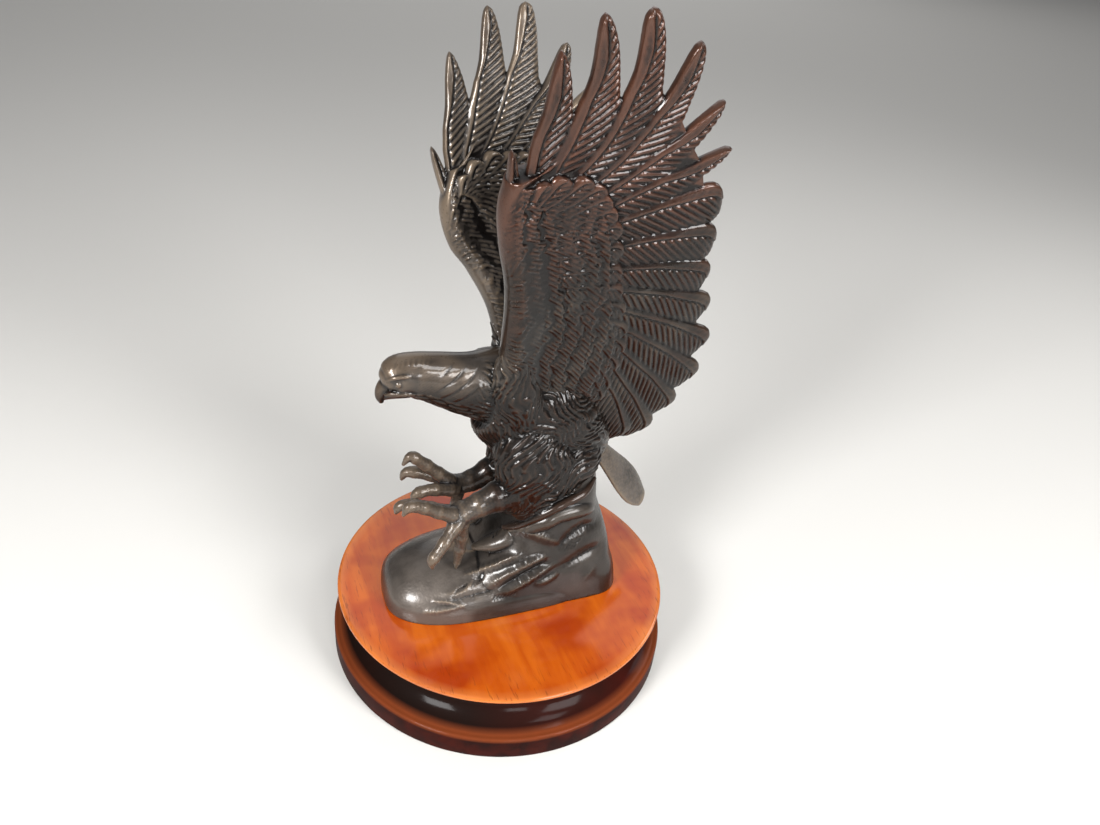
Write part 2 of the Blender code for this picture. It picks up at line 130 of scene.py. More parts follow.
def ranged(tree, source, low, high, least=0.0, most=1.0):
    """The source's values from low to high, spread from least to most."""
    settings = {"From_Min": low, "From_Max": high, "To_Min": least, "To_Max": most}
    return node(tree, "MapRange", {"Value": source}, **settings).outputs["Result"]


def times(tree, first, second):
    return node(tree, "Math", {0: first, 1: second}, operation="MULTIPLY").outputs[0]


def plinth_outline():
    """Radius and height from the top's edge down to the foot's underside."""
    top, foot_radius = plinth_high[2], plinth_high[0]
    top_radius = foot_radius - TOP_INSET
    outline = [(top_radius - inward, top - down) for inward, down in ARRIS]
    cove_from, cove_to = outline[-1], (foot_radius - COVE_LIP, FOOT_TOP + 0.0008)
    for k in range(1, 20):
        share = k / 20
        radius = cove_from[0] + (cove_to[0] - cove_from[0]) * share
        height = cove_from[1] + (cove_to[1] - cove_from[1]) * share
        outline.append((radius - COVE_DEPTH * math.sin(math.pi * share) ** 0.7, height))
    outline += [cove_to, (foot_radius - COVE_LIP + 0.0008, FOOT_TOP + 0.0002)]
    for k in range(7):
        angle = math.pi / 2 - math.pi / 2 * k / 6
        round_radius = foot_radius - FOOT_ROUND + FOOT_ROUND * math.cos(angle)
        outline.append((round_radius, FOOT_TOP - FOOT_ROUND + FOOT_ROUND * math.sin(angle)))
    for k in range(5):
        angle = -math.pi / 2 * k / 4
        round_radius = foot_radius - UNDER_ROUND + UNDER_ROUND * math.cos(angle)
        outline.append((round_radius, UNDER_ROUND + UNDER_ROUND * math.sin(angle)))
    return outline


select_only()
outline = plinth_outline()
bpy.ops.mesh.primitive_circle_add(
    vertices=PLINTH_SEGMENTS, radius=outline[0][0], fill_type="NGON", location=(0, 0, outline[0][1])
)
plinth = bpy.context.object
plinth.name = "varnished_plinth"
bpy.ops.object.transform_apply()
bpy.ops.object.mode_set(mode="EDIT")
bpy.ops.mesh.select_all(action="SELECT")
bpy.ops.mesh.extrude_region_move()
for (radius, height), (new_radius, new_height) in zip(outline, outline[1:]):
    share = new_radius / radius
    bpy.ops.transform.resize(value=(share, share, 1), center_override=(0, 0, 0))
    bpy.ops.transform.translate(value=(0, 0, new_height - height))
    if (new_radius, new_height) != outline[-1]:
        bpy.ops.mesh.extrude_region_move()
bpy.ops.mesh.select_all(action="SELECT")
bpy.ops.mesh.normals_make_consistent(inside=False)
bpy.ops.object.mode_set(mode="OBJECT")
bpy.ops.object.shade_smooth_by_angle(angle=math.radians(40))

# Hardwood under an uneven orange-red stain and gloss varnish: warm, mottled, with short dark pores along
# the grain, and paler where the edges wore. The cove is painted almost black-red as shade under the top
# disc.
GRAIN_TURN = math.radians(24)

wood = bpy.data.materials.new("stained hardwood under gloss varnish")
wood.use_nodes = True
tree = wood.node_tree
shader = tree.nodes["Principled BSDF"]
place = node(tree, "TexCoord").outputs["Object"]
axes = node(tree, "SeparateXYZ", {"Vector": place}).outputs
level = node(tree, "Mapping", {"Vector": place}, Scale=(1, 1, 0)).outputs["Vector"]
radius = node(tree, "VectorMath", {0: level}, operation="LENGTH").outputs["Value"]
grain = node(
    tree, "Mapping", {"Vector": place}, Rotation=(0, 0, GRAIN_TURN), Scale=(1.0, 0.1, 1.0)
).outputs["Vector"]
# Pores are 0.6 mm wide and 6 mm long, growth bands 6 mm wide, and stain patches 30 to 40 mm
pores = node(tree, "TexNoise", {"Vector": grain}, Scale=1500.0, Detail=2.0).outputs["Fac"]
bands = node(
    tree, "TexNoise", {"Vector": grain}, Scale=160.0, Detail=5.0, Distortion=0.4
).outputs["Fac"]
patches = node(tree, "TexNoise", {"Vector": place}, Scale=30.0, Detail=3.0).outputs["Fac"]
top_colour = mix(tree, ranged(tree, bands, 0.38, 0.62), paint("#AF530E"), paint("#A04207"))
top_colour = mix(tree, ranged(tree, patches, 0.50, 0.66), top_colour, paint("#8C2E04"))
top_colour = mix(tree, ranged(tree, patches, 0.44, 0.32, 0.0, 0.4), top_colour, paint("#B86828"))
top_colour = mix(tree, ranged(tree, radius, 0.0700, 0.0746, 0.0, 0.35), top_colour, paint("#C98345"))
rim_pores = times(tree, ranged(tree, pores, 0.60, 0.68), ranged(tree, radius, 0.055, 0.0735, 0.03, 0.5))
top_colour = mix(tree, rim_pores, top_colour, paint("#4A1B08"))
# Painted shade: the cove is near black, darker on its -X side and redder on its +X side
shaded_cove_colour = mix(tree, ranged(tree, axes["X"], -0.035, 0.060), paint("#120805"), paint("#3A0C05"))
shaded_cove_colour = mix(tree, ranged(tree, patches, 0.45, 0.62, 0.0, 0.6), shaded_cove_colour, paint("#180804"))
foot_colour = mix(tree, ranged(tree, bands, 0.35, 0.65), paint("#300A04"), paint("#1A0604"))
# Painted highlight: a paler band along the foot's rounded top edge
foot_colour = mix(tree, ranged(tree, axes["Z"], 0.0092, 0.0108, 0.0, 0.5), foot_colour, paint("#84401F"))
under_colour = mix(tree, ranged(tree, axes["Z"], 0.0114, 0.0128), foot_colour, shaded_cove_colour)
upper = ranged(tree, axes["Z"], 0.0306, 0.0318)
colour = mix(tree, upper, under_colour, top_colour)
tree.links.new(colour, shader.inputs["Base Color"])
rough = mix(tree, upper, (0.62, 0.62, 0.62, 1), ranged(tree, bands, 0.3, 0.7, 0.34, 0.48))
tree.links.new(rough, shader.inputs["Roughness"])
# The varnish lies thick on the top and thin in the cove
tree.links.new(ranged(tree, upper, 0.0, 1.0, 0.08, 0.8), shader.inputs["Coat Weight"])
shader.inputs["Coat Roughness"].default_value = 0.12
shader.inputs["Specular IOR Level"].default_value = 0.04
ripple = node(tree, "Bump", {"Height": bands}, Strength=0.12, Distance=0.0006)
tree.links.new(ripple.outputs["Normal"], shader.inputs["Normal"])
plinth.data.materials.append(wood)
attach(plinth, "root")
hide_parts("turned_plinth")

# The casting: tools for carving it
# The bird and its rock are one bronze casting. Its model was carved by hand, so each part is made
# another way than by turning or pressing: overlapping closed shells are built from rings of points,
# and one skin is drawn over them, as metal fills a mould.

# Points of the figure are (forward f, left l, up u) in parts of its height, up from the plinth's top.
# One part is about a millimetre.
PARTS_HIGH = 252.3
PART = (casting_high[2] - casting_low[2]) / PARTS_HIGH
COARSER = 1.0
# The fine hollows are measured after a few smoothing turns, and the broad ones after all of them
FINE_TURN, BROAD_TURN = 3, 23


def smooth_line(points, count):
    """A smooth line through the points, as count samples of every column."""
    points = np.asarray(points, float)
    ends = np.vstack([2 * points[0] - points[1], points, 2 * points[-1] - points[-2]])
    place = np.linspace(0, len(points) - 1, count)
    start = np.minimum(place.astype(int), len(points) - 2)
    t = (place - start)[:, None]
    a, b, c, d = (ends[start + k] for k in range(4))
    return 0.5 * (
        2 * b
        + (c - a) * t
        + (2 * a - 5 * b + 4 * c - d) * t**2
        + (3 * b - a - 3 * c + d) * t**3
    )


def unit(vectors):
    return vectors / np.maximum(np.linalg.norm(vectors, axis=-1, keepdims=True), 1e-9)


def travelled(line):
    """How far each point lies along the line."""
    return np.concatenate([[0.0], np.cumsum(np.linalg.norm(np.diff(line, axis=0), axis=1))])


def on_side(side, points):
    """Points or stations as they stand on the left, side 1, or mirrored to the right, side -1."""
    return [(f, side * l, *rest) for f, l, *rest in points]


def bump(position, sharpness=2.0):
    """Rounded ridges, one for each unit of position, with narrow valleys between them."""
    return 1 - np.abs(2 * np.mod(position, 1.0) - 1) ** sharpness


shell_points, shell_quads = [], []


def loft(rings):
    """A closed shell through rings that have an even number of points."""
    count, sides, _ = rings.shape
    first = sum(len(points) for points in shell_points)
    index = first + np.arange(count * sides).reshape(count, sides)
    after = np.roll(index, -1, axis=1)
    shell_points.append(rings.reshape(-1, 3))
    shell_quads.append(np.stack([index[:-1], after[:-1], after[1:], index[1:]], axis=-1).reshape(-1, 4))
    half = np.arange(sides // 2 - 1)
    for ring in (index[0], index[-1]):
        shell_quads.append(ring[np.stack([half, half + 1, sides - 2 - half, sides - 1 - half], axis=-1)])


def limb(stations, step=0.6, level=(0, 1, 0), relief=None):
    """A round limb. Each station is a point, its half width along level and its half height.

    relief gives the height of the carving from the distance along, the distance around
    and the angle around, which is 0 on the level side and a quarter turn on top.
    """
    step *= COARSER
    rough = smooth_line(stations, 64)
    length = np.linalg.norm(np.diff(rough[:, :3], axis=0), axis=1).sum()
    girth = math.pi * (rough[:, 3] + rough[:, 4]).max()
    count, sides = max(int(length / step), 8), 2 * max(int(girth / step / 2), 6)
    line = smooth_line(stations, count)
    centres, widths, heights = line[:, :3], np.maximum(line[:, 3:4], 0.1), np.maximum(line[:, 4:5], 0.1)
    along = unit(np.gradient(centres, axis=0))
    level = np.asarray(level, float)
    across = unit(level - (along @ level)[:, None] * along)
    upward = np.cross(along, across)
    if upward[:, 2].sum() < 0:
        upward = -upward
    turn = np.linspace(-math.pi, math.pi, sides, endpoint=False)
    cosine, sine = np.cos(turn)[None, :, None], np.sin(turn)[None, :, None]
    rings = centres[:, None] + (across * widths)[:, None] * cosine + (upward * heights)[:, None] * sine
    if relief is not None:
        outward = unit((across / widths)[:, None] * cosine + (upward / heights)[:, None] * sine)
        gone = travelled(centres)
        radius = (widths + heights) / 2
        height = relief(gone[:, None] + 0 * turn, radius * turn[None, :], turn[None, :] + 0 * radius)
        fade = np.minimum(gone, gone[-1] - gone)[:, None] / 3.0
        rings = rings + outward * (height * np.clip(fade, 0, 1))[..., None]
    loft(rings)


def chisel(points, normals, line, width, depth):
    """Cuts a groove along a line laid on the surface. A negative depth raises a ridge."""
    line = np.asarray(line, float)
    length = np.linalg.norm(np.diff(line, axis=0), axis=1).sum()
    samples = smooth_line(line, max(int(2.5 * length / width), 4))
    reach = 3.0 * width + 3.0
    box = (points > samples.min(axis=0) - reach) & (points < samples.max(axis=0) + reach)
    near = np.flatnonzero(box.all(axis=1))
    if len(near) == 0:
        return
    local = points[near]
    apart = np.linalg.norm(local[:, None] - samples[None], axis=2)
    laid = local[np.argmin(apart, axis=0)]
    apart = np.linalg.norm(local[:, None] - laid[None], axis=2)
    taper = np.sqrt(np.clip(np.sin(math.pi * np.linspace(0.04, 0.96, len(samples))), 0, 1))
    cut = (np.exp(-((apart / width) ** 1.6)) * taper).max(axis=1)
    points[near] -= normals[near] * (depth * cut)[:, None]


def hollows(points, edges, normals):
    """How deep each point lies below its surroundings, from fine to broad. Ridges are below nought."""
    count = np.bincount(edges.ravel(), minlength=len(points))[:, None]
    smooth, depth = points, []
    for turn in range(BROAD_TURN + 1):
        total = np.stack(
            [
                np.bincount(edges[:, 0], smooth[edges[:, 1], k], len(points))
                + np.bincount(edges[:, 1], smooth[edges[:, 0], k], len(points))
                for k in range(3)
            ],
            axis=1,
        )
        smooth = 0.5 * smooth + 0.5 * total / count
        if turn in (FINE_TURN, BROAD_TURN):
            depth.append(((smooth - points) * normals).sum(axis=1))
    return depth


def mesh_arrays(mesh):
    points = np.empty(3 * len(mesh.vertices), np.float32)
    mesh.vertices.foreach_get("co", points)
    normals = np.empty_like(points)
    mesh.vertex_normals.foreach_get("vector", normals)
    return points.reshape(-1, 3).astype(float), normals.reshape(-1, 3).astype(float)


def cast_piece(name, voxel, most, warmth, finish, strokes=()):
    """Draws one skin over the shells made since the last piece, chisels it, thins it and finishes it.

    warmth gives the colour of a point, from -1, pale grey-brown, to 1, rubbed red-brown. It is mostly
    patina, and on some parts a painted sheen.
    """
    points, quads = np.concatenate(shell_points), np.concatenate(shell_quads)
    shell_points.clear()
    shell_quads.clear()
    mesh = bpy.data.meshes.new(name)
    mesh.vertices.add(len(points))
    mesh.vertices.foreach_set("co", points.ravel())
    mesh.loops.add(quads.size)
    mesh.loops.foreach_set("vertex_index", quads.ravel())
    mesh.polygons.add(len(quads))
    mesh.polygons.foreach_set("loop_start", np.arange(0, quads.size, 4))
    mesh.update(calc_edges=True)
    piece = bpy.data.objects.new(name, mesh)
    bpy.context.scene.collection.objects.link(piece)
    select_only(piece)
    skin = piece.modifiers.new("Skin", "REMESH")
    skin.mode = "VOXEL"
    skin.voxel_size = voxel * COARSER
    bpy.ops.object.modifier_apply(modifier=skin.name)
    points, normals = mesh_arrays(piece.data)
    for stroke in strokes:
        chisel(points, normals, *stroke)
    piece.data.vertices.foreach_set("co", points.astype(np.float32).ravel())
    thin = piece.modifiers.new("Thin", "DECIMATE")
    thin.ratio = min(1.0, most / COARSER**2 / (2 * len(piece.data.polygons)))
    bpy.ops.object.modifier_apply(modifier=thin.name)
    points, normals = mesh_arrays(piece.data)
    edges = np.empty(2 * len(piece.data.edges), np.int32)
    piece.data.edges.foreach_get("vertices", edges)
    fine, broad = hollows(points, edges.reshape(-1, 2), normals)
    for label, values in (("fine_hollow", fine), ("broad_hollow", broad), ("warmth", warmth(*points.T))):
        layer = piece.data.attributes.new(label, "FLOAT", "POINT")
        layer.data.foreach_set("value", values.astype(np.float32))
    points *= PART
    points[:, :2] *= -1
    points[:, 2] += casting_low[2]
    piece.data.vertices.foreach_set("co", points.astype(np.float32).ravel())
    piece.data.update()
    bpy.ops.object.shade_smooth()
    piece.data.materials.append(finish)
    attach(piece, "root")
    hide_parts("eagle_casting")
    return piece


def chance(row, column, salt):
    """The same share of 1 each time for a cell, and a different one for each cell."""
    return np.mod(np.sin(row * 12.9898 + column * 78.233 + salt * 37.719) * 43758.5453, 1.0)


def plumage(along, around, length, width, height):
    """Small ragged feathers: two layers of tapered locks, each turned a little and split by its barbs."""
    total = np.zeros(np.broadcast(along, around).shape)
    ruffle = 1.1 * np.sin(along / length + around / (3.3 * width)) + 0.6 * np.sin(along / 2.9 - around / 4.7)
    along, around = (
        along + 0.5 * length * np.sin(around / (1.9 * width) + along / (2.7 * length)),
        around + width * ruffle,
    )
    for layer in (0, 1):
        place = along / length + 0.5 * layer
        place = place + 0.25 * np.sin(around / (2.3 * width) + along / (1.9 * length))
        row = np.floor(place)
        back = place - row
        aside = around / width + 0.37 * layer + 1.7 * chance(row, 0, layer)
        column = np.floor(aside)
        off = aside - column - 0.5 + 0.9 * (chance(row, column, 2) - 0.5) * (back - 0.5)
        taper = 1 - 0.75 * back**3
        lock = np.clip(1 - (2 * np.abs(off) / taper) ** 2.2, 0, 1)
        lock = lock * (0.35 + 0.65 * back) * np.clip((1 - back) / 0.06, 0, 1)
        split = bump(off * 2.4 + 0.6 * back, 2.0)
        total = np.maximum(total, lock * (0.55 + 0.45 * split) * (0.55 + 0.6 * chance(row, column, 3)))
    return height * total


def bronze_finish(name, coat, coat_rough, least_rough, most_rough, grain_height):
    """Bronze under a brown-black patina, browner on ridges, paler where rubbed and where a sheen is painted,
    and black in hollows, where dark patina and painted shade lie together.
    """
    bronze = bpy.data.materials.new(name)
    bronze.use_nodes = True
    tree = bronze.node_tree
    shader = tree.nodes["Principled BSDF"]
    place = node(tree, "TexCoord").outputs["Object"]
    fine = node(tree, "Attribute", attribute_name="fine_hollow").outputs["Fac"]
    broad = node(tree, "Attribute", attribute_name="broad_hollow").outputs["Fac"]
    warmth = node(tree, "Attribute", attribute_name="warmth").outputs["Fac"]
    # Clouds in the patina are 15 mm across, and the cast skin's grain 1 mm
    clouds = node(tree, "TexNoise", {"Vector": place}, Scale=70.0, Detail=4.0).outputs["Fac"]
    specks = node(tree, "TexNoise", {"Vector": place}, Scale=950.0, Detail=3.0).outputs["Fac"]
    warm = ranged(tree, warmth, 0.0, 1.0)
    cold = ranged(tree, warmth, 0.0, -1.0)
    # Cold, pale tones: rubbed patina on the feet, a paler tail, and a painted sheen on the rock's nose, the
    # crown and neck and the far wing
    high = mix(tree, cold, mix(tree, warm, paint("#2A1F18"), paint("#523326")), paint("#746657"))
    flat = mix(tree, cold, mix(tree, warm, paint("#13100D"), paint("#38221A")), paint("#58514B"))
    flat = mix(tree, ranged(tree, clouds, 0.38, 0.66, 0.0, 0.6), flat, paint("#0F0A08"))
    depth = node(tree, "Math", {0: fine, 1: broad}, operation="ADD").outputs[0]
    colour = mix(tree, ranged(tree, depth, -0.06, -0.5), flat, high)
    # Painted shade: hollows go near black, partly the patina that gathers there and partly shade painted in
    colour = mix(tree, ranged(tree, depth, 0.02, 0.24, 0.0, 0.9), colour, paint("#060404"))
    tree.links.new(colour, shader.inputs["Base Color"])
    tree.links.new(ranged(tree, specks, 0.3, 0.7, least_rough, most_rough), shader.inputs["Roughness"])
    grain = node(tree, "Bump", {"Height": specks}, Strength=grain_height, Distance=0.0004)
    tree.links.new(grain.outputs["Normal"], shader.inputs["Normal"])
    # The patina hides most of the metal, and its own gloss is low beside the lacquer's
    shader.inputs["Metallic"].default_value = 0.35
    shader.inputs["Specular IOR Level"].default_value = 0.12
    shader.inputs["Coat Weight"].default_value = coat
    shader.inputs["Coat Roughness"].default_value = coat_rough
    return bronze


# Clear lacquer over the feathers gives sharp white glints. Rock, feet and tail have a broad satin sheen.
glossy_bronze = bronze_finish("patinated bronze under clear lacquer", 0.42, 0.08, 0.26, 0.38, 0.2)
satin_bronze = bronze_finish("satin patinated bronze", 0.5, 0.18, 0.34, 0.48, 0.35)

# The rock
# The foot of the casting: a low slab with a rounded nose, and a column of folds that rises to the thighs.
# It is bronze with a satin patina, cut flat below and fixed to the plinth.

# Each row of the slab and the column: height, middle, half length, half width and squareness
SLAB = (
    (-3.0, 4.0, 52.0, 28.0, 2.9),
    (5.0, 4.0, 51.7, 27.6, 2.9),
    (9.5, 4.2, 50.0, 26.0, 2.8),
    (13.5, 4.8, 46.5, 22.8, 2.6),
    (17.0, 5.6, 41.0, 18.0, 2.5),
    (19.8, 6.6, 33.0, 12.5, 2.3),
    (21.6, 7.4, 21.0, 6.0, 2.2),
)
COLUMN = (
    (-3.0, -12.0, 39.0, 27.0, 5.5),
    (8.0, -12.5, 37.5, 26.5, 5.0),
    (16.0, -14.0, 34.0, 25.5, 4.0),
    (25.0, -17.0, 29.0, 24.0, 3.4),
    (35.0, -19.0, 24.0, 22.5, 3.0),
    (46.0, -20.0, 19.5, 21.0, 2.8),
    (58.0, -20.0, 18.5, 20.0, 2.6),
    (70.0, -18.0, 17.0, 18.0, 2.4),
    (80.0, -16.0, 13.0, 14.0, 2.2),
)
# Folds of the rock, each a line on its left side with the thickness of the fold
FOLDS = (
    (
        (
            (2.0, 12.0, 37.0), (-9.2, 17.5, 43.0), (-16.5, 18.5, 46.5),
            (-28.2, 17.0, 46.5), (-37.0, 12.0, 41.0),
        ),
        5.0,
    ),
    (((18.0, 8.0, 26.0), (9.0, 11.0, 29.0), (2.0, 13.0, 32.0), (-8.0, 16.0, 32.0)), 4.4),
)
# Ridges and cuts: a line laid on the surface, its width, and its depth, below nought for a ridge
LEFT_RIDGES = (
    (
        ((22.7, 16.6, 18.6), (16.3, 16.2, 19.2), (10.8, 18.3, 22.3), (5.9, 19.7, 25.8), (1.0, 21.1, 28.3)),
        1.5, -1.5,
    ),
    (
        ((13.4, 22.5, 15.6), (7.4, 22.9, 19.5), (0.6, 23.2, 23.1), (-5.5, 23.4, 25.8), (-10.5, 23.6, 27.2)),
        1.9, -1.9,
    ),
    (((9.5, 24.4, 14.6), (3.5, 24.4, 17.8), (-3.0, 24.2, 21.0), (-10.0, 24.1, 24.4)), 1.3, 1.3),
    (((6.3, 25.6, 12.5), (0.0, 25.3, 15.6), (-6.4, 24.8, 18.7), (-14.4, 24.3, 22.4)), 1.5, -1.6),
    (((-8.0, 25.7, 14.0), (-12.1, 25.5, 15.3), (-16.6, 25.1, 17.4)), 1.4, -1.2),
    (((33.9, 21.4, 13.6), (25.5, 21.7, 14.9), (17.3, 19.7, 17.0)), 2.2, -1.0),
    (((30.0, 23.8, 11.8), (20.0, 24.0, 13.0), (12.0, 23.8, 13.4)), 1.3, 0.7),
    (((38.5, 21.9, 11.5), (32.9, 23.8, 11.2), (26.2, 26.0, 9.5)), 0.9, -0.7),
    (((43.1, 22.4, 6.5), (35.5, 25.0, 7.9), (26.6, 26.1, 9.2)), 1.1, -0.8),
    (
        ((6.5, 8.2, 32.0), (2.3, 13.8, 36.2), (-3.1, 18.3, 38.7), (-9.2, 21.6, 37.2), (-16.3, 22.8, 33.6)),
        2.2, -1.5,
    ),
    (((-36.8, 18.3, 36.3), (-28.5, 21.7, 37.9), (-21.9, 22.7, 34.3), (-17.2, 23.2, 30.8)), 2.8, 2.0),
    (((-38.8, 20.9, 24.8), (-32.7, 23.4, 24.4), (-25.9, 24.2, 22.5), (-19.4, 24.5, 20.4)), 2.8, 1.8),
    (((-29.8, 25.8, 11.6), (-35.9, 24.1, 16.9)), 2.4, -0.6),
)
# Small cuts in the hollows: the first one's start and end, the last one's middle, and their number
MARK_WIDTH, MARK_DEPTH = 0.45, 0.35
LEFT_MARKS = (
    ((-19.8, 23.6, 28.1), (-22.8, 23.1, 32.4), (-27.0, 23.0, 31.0), 4),
    ((11.7, 13.3, 24.0), (9.0, 9.6, 28.3), (5.6, 12.8, 30.5), 4),
    ((29.5, 22.4, 14.2), (27.5, 20.6, 16.4), (23.5, 20.6, 16.6), 5),
    ((22.0, 21.8, 15.0), (19.0, 18.5, 18.0), (15.5, 19.0, 18.6), 5),
    ((13.0, 26.2, 9.0), (11.5, 25.6, 11.6), (2.0, 26.0, 11.0), 7),
)


def marks(start, end, last, count):
    """Short cuts side by side, from start to end, up to the one whose middle is at last."""
    start, end, last = np.array(start), np.array(end), np.array(last)
    across = last - (start + end) / 2
    shifts = [across * k / count for k in range(count)]
    return [((start + shift, end + shift), MARK_WIDTH, MARK_DEPTH) for shift in shifts]


def rock_rings(rows):
    """Rounded squares through the rows, a little wavy."""
    turn = np.linspace(0, 2 * math.pi, 360, endpoint=False)
    up, forward, half_length, half_width, squareness = smooth_line(rows, 120).T[:, :, None]
    power = 2 / squareness
    x = np.sign(np.cos(turn)) * np.abs(np.cos(turn)) ** power
    y = np.sign(np.sin(turn)) * np.abs(np.sin(turn)) ** power
    rings = np.stack([forward + half_length * x, half_width * y, up + 0 * x], axis=-1)
    wave = 0.5 * np.sin(turn * 4 + up / 9) + 0.35 * np.sin(turn * 7 - up / 7)
    rings[..., :2] *= 1 + 0.010 * wave[..., None]
    return rings


loft(rock_rings(SLAB))
loft(rock_rings(COLUMN))
for side in (1, -1):
    for points, thickness in FOLDS:
        stations = [(*point, thickness, thickness * 0.8) for point in on_side(side, points)]
        for end in (0, -1):
            stations[end] = (*stations[end][:3], thickness * 0.35, thickness * 0.3)
        limb(stations)
# The right side, which is turned away, has the main ridges and none of the small cuts
strokes = list(LEFT_RIDGES)
strokes += [(on_side(-1, line), width, depth) for line, width, depth in LEFT_RIDGES[::2]]
for group in LEFT_MARKS:
    strokes += marks(*group)


def rock_patina_and_sheen(f, l, u):
    """Palest on the nose of the slab: a painted sheen, as of bright surroundings mirrored in its top."""
    return -0.25 - 0.75 * np.clip((f - 8) / 14, 0, 1) + 0.12 * np.sin(f / 9.0 + u / 7.0)


rock = cast_piece("rock", 0.45, 150000, rock_patina_and_sheen, satin_bronze, strokes)
select_only(rock)
bpy.ops.object.mode_set(mode="EDIT")
bpy.ops.mesh.select_all(action="SELECT")
bpy.ops.mesh.bisect(
    plane_co=(0, 0, casting_low[2]), plane_no=(0, 0, 1), use_fill=True, clear_inner=True, threshold=1e-6
)
bpy.ops.object.mode_set(mode="OBJECT")

# The body and neck
# They are cast with the rock and the wings, in lacquered bronze. Small overlapping feathers are carved
# on the breast, and slanting plates on the neck.

BODY = (
    (16.0, 0, 103.0, 9.0, 10.0),
    (10.0, 0, 102.0, 14.0, 18.0),
    (0.0, 0, 96.0, 17.0, 22.5),
    (-12.0, 0, 87.0, 18.0, 24.0),
    (-24.0, 0, 78.0, 16.0, 20.0),
    (-34.0, 0, 70.0, 12.0, 13.0),
    (-40.0, 0, 64.0, 6.5, 6.0),
)
NECK = (
    (-2.0, 0, 101.0, 13.5, 17.5),
    (10.0, 0, 104.0, 12.0, 16.0),
    (22.0, 0, 106.5, 10.2, 13.0),
    (34.0, 0, 110.5, 8.8, 10.4),
    (43.0, 0, 112.8, 8.0, 8.9),
    (49.4, 0, 112.8, 7.3, 8.1),
    (53.0, 0, 111.6, 5.0, 5.5),
    (54.8, 0, 110.8, 2.4, 2.8),
)


def body_feathers(along, around, turn):
    return plumage(along, around, 6.2, 2.7, 1.25)


def neck_feathers(along, around, turn):
    """Plates cut by slanting grooves on the sides, thin strands below, and a smooth top."""
    back = along.max() - along
    rise = np.sin(turn)
    aside = np.clip((0.75 - np.abs(rise - 0.1)) / 0.25, 0, 1)
    slanted = back - 9.0 * rise
    plates = 0.6 * (bump(slanted / 5.6, 6.0) - 1)
    plates = plates * np.clip((back - 20) / 3, 0, 1) * np.clip((37 - back) / 4, 0, 1)
    fine = 0.2 * bump(slanted / 1.3) * np.clip((back - 12) / 2, 0, 1) * np.clip((40 - back) / 4, 0, 1)
    below = np.clip((-0.35 - rise) / 0.2, 0, 1) * np.clip((back - 10) / 4, 0, 1)
    strands = 0.7 * bump(around / 2.0 + 0.25 * np.sin(back / 4.0), 1.5)
    strands = strands * bump(back / 8.0 + np.floor(around / 2.0) * 0.37, 4.0)
    crown = np.clip(1 - np.abs(rise - 0.82) / 0.14, 0, 1)
    crown = crown * np.clip((17 - back) / 3, 0, 1) * np.clip((back - 3) / 2, 0, 1)
    strokes = 0.22 * bump((back - 5.0 * rise) / 1.5, 1.5)
    locks = plumage(back, around, 6.5, 2.7, 1.25)
    locks = locks * np.clip((back - 36) / 4, 0, 1) * np.clip((0.93 - rise) / 0.1, 0, 1)
    return aside * (plates + fine) + below * strands + crown * strokes + locks


limb(BODY, step=0.4, relief=body_feathers)
limb(NECK, step=0.35, relief=neck_feathers)

# The shoulders, which carry the front edge of each wing out of the body
SHOULDERS = (
    (
        (-2.0, 5.0, 92.0, 12.0, 14.0), (3.0, 9.0, 104.0, 10.0, 11.0), (6.0, 12.6, 116.0, 6.8, 7.6),
        (7.5, 15.9, 128.0, 4.6, 5.2), (8.5, 18.8, 140.0, 3.4, 3.4),
    ),
    (
        (-6.0, -5.0, 88.0, 11.0, 13.0), (-2.0, -8.0, 98.0, 9.5, 11.0), (0.0, -10.5, 107.0, 6.8, 7.5),
        (1.0, -13.0, 116.0, 4.6, 5.2), (3.0, -16.0, 128.0, 3.4, 3.4),
    ),
)
for shoulder in SHOULDERS:
    limb(shoulder, step=0.4, relief=body_feathers)

# The head
# It has a hooked beak, a mouth that runs back under the eye, and a heavy brow.

BEAK = (
    (47.5, 0, 110.2, 4.6, 5.2),
    (51.4, 0, 109.6, 3.8, 4.6),
    (54.2, 0, 107.6, 2.8, 3.4),
    (55.5, 0, 104.6, 1.8, 2.1),
    (55.0, 0, 101.4, 0.6, 0.8),
)
LOWER_BEAK = (
    (45.0, 0, 106.4, 4.8, 3.0),
    (50.6, 0, 106.0, 3.7, 2.7),
    (54.9, 0, 104.4, 1.5, 1.8),
)
CROWN = ((37.0, 0, 117.3, 6.0, 3.0), (45.0, 0, 117.6, 6.2, 3.4), (51.0, 0, 115.8, 4.4, 2.8))
BROW = (
    (43.5, 6.5, 115.4, 0.5, 0.5), (47.5, 6.9, 116.1, 0.9, 0.8),
    (51.5, 5.8, 115.4, 1.0, 0.9), (54.0, 3.8, 113.4, 0.5, 0.5),
)
CHEEK = (
    (42.0, 6.6, 107.6, 0.4, 0.5), (47.0, 6.7, 108.2, 0.8, 1.0),
    (52.0, 5.0, 107.8, 0.7, 0.9), (54.6, 3.2, 106.8, 0.4, 0.5),
)
EYE_PLACE, EYE_RADIUS = (49.8, 6.5, 112.8), 1.35

limb(BEAK, step=0.3)
limb(LOWER_BEAK, step=0.3)
limb(CROWN, step=0.3)
for side in (1, -1):
    for ridge in (BROW, CHEEK):
        limb(on_side(side, ridge), step=0.3)
    f, l, u = EYE_PLACE
    angles = np.linspace(0.05, math.pi - 0.05, 9)
    rounds = [(f - EYE_RADIUS * math.cos(a), l, u, *[EYE_RADIUS * math.sin(a)] * 2) for a in angles]
    limb(on_side(side, rounds), step=0.3)

# The legs
# Thighs with trousers of feathers, scaly shanks, and toes with hooked claws. The near leg is the left one.
# The feet hang free of the rock, and are worn to a satin sheen.

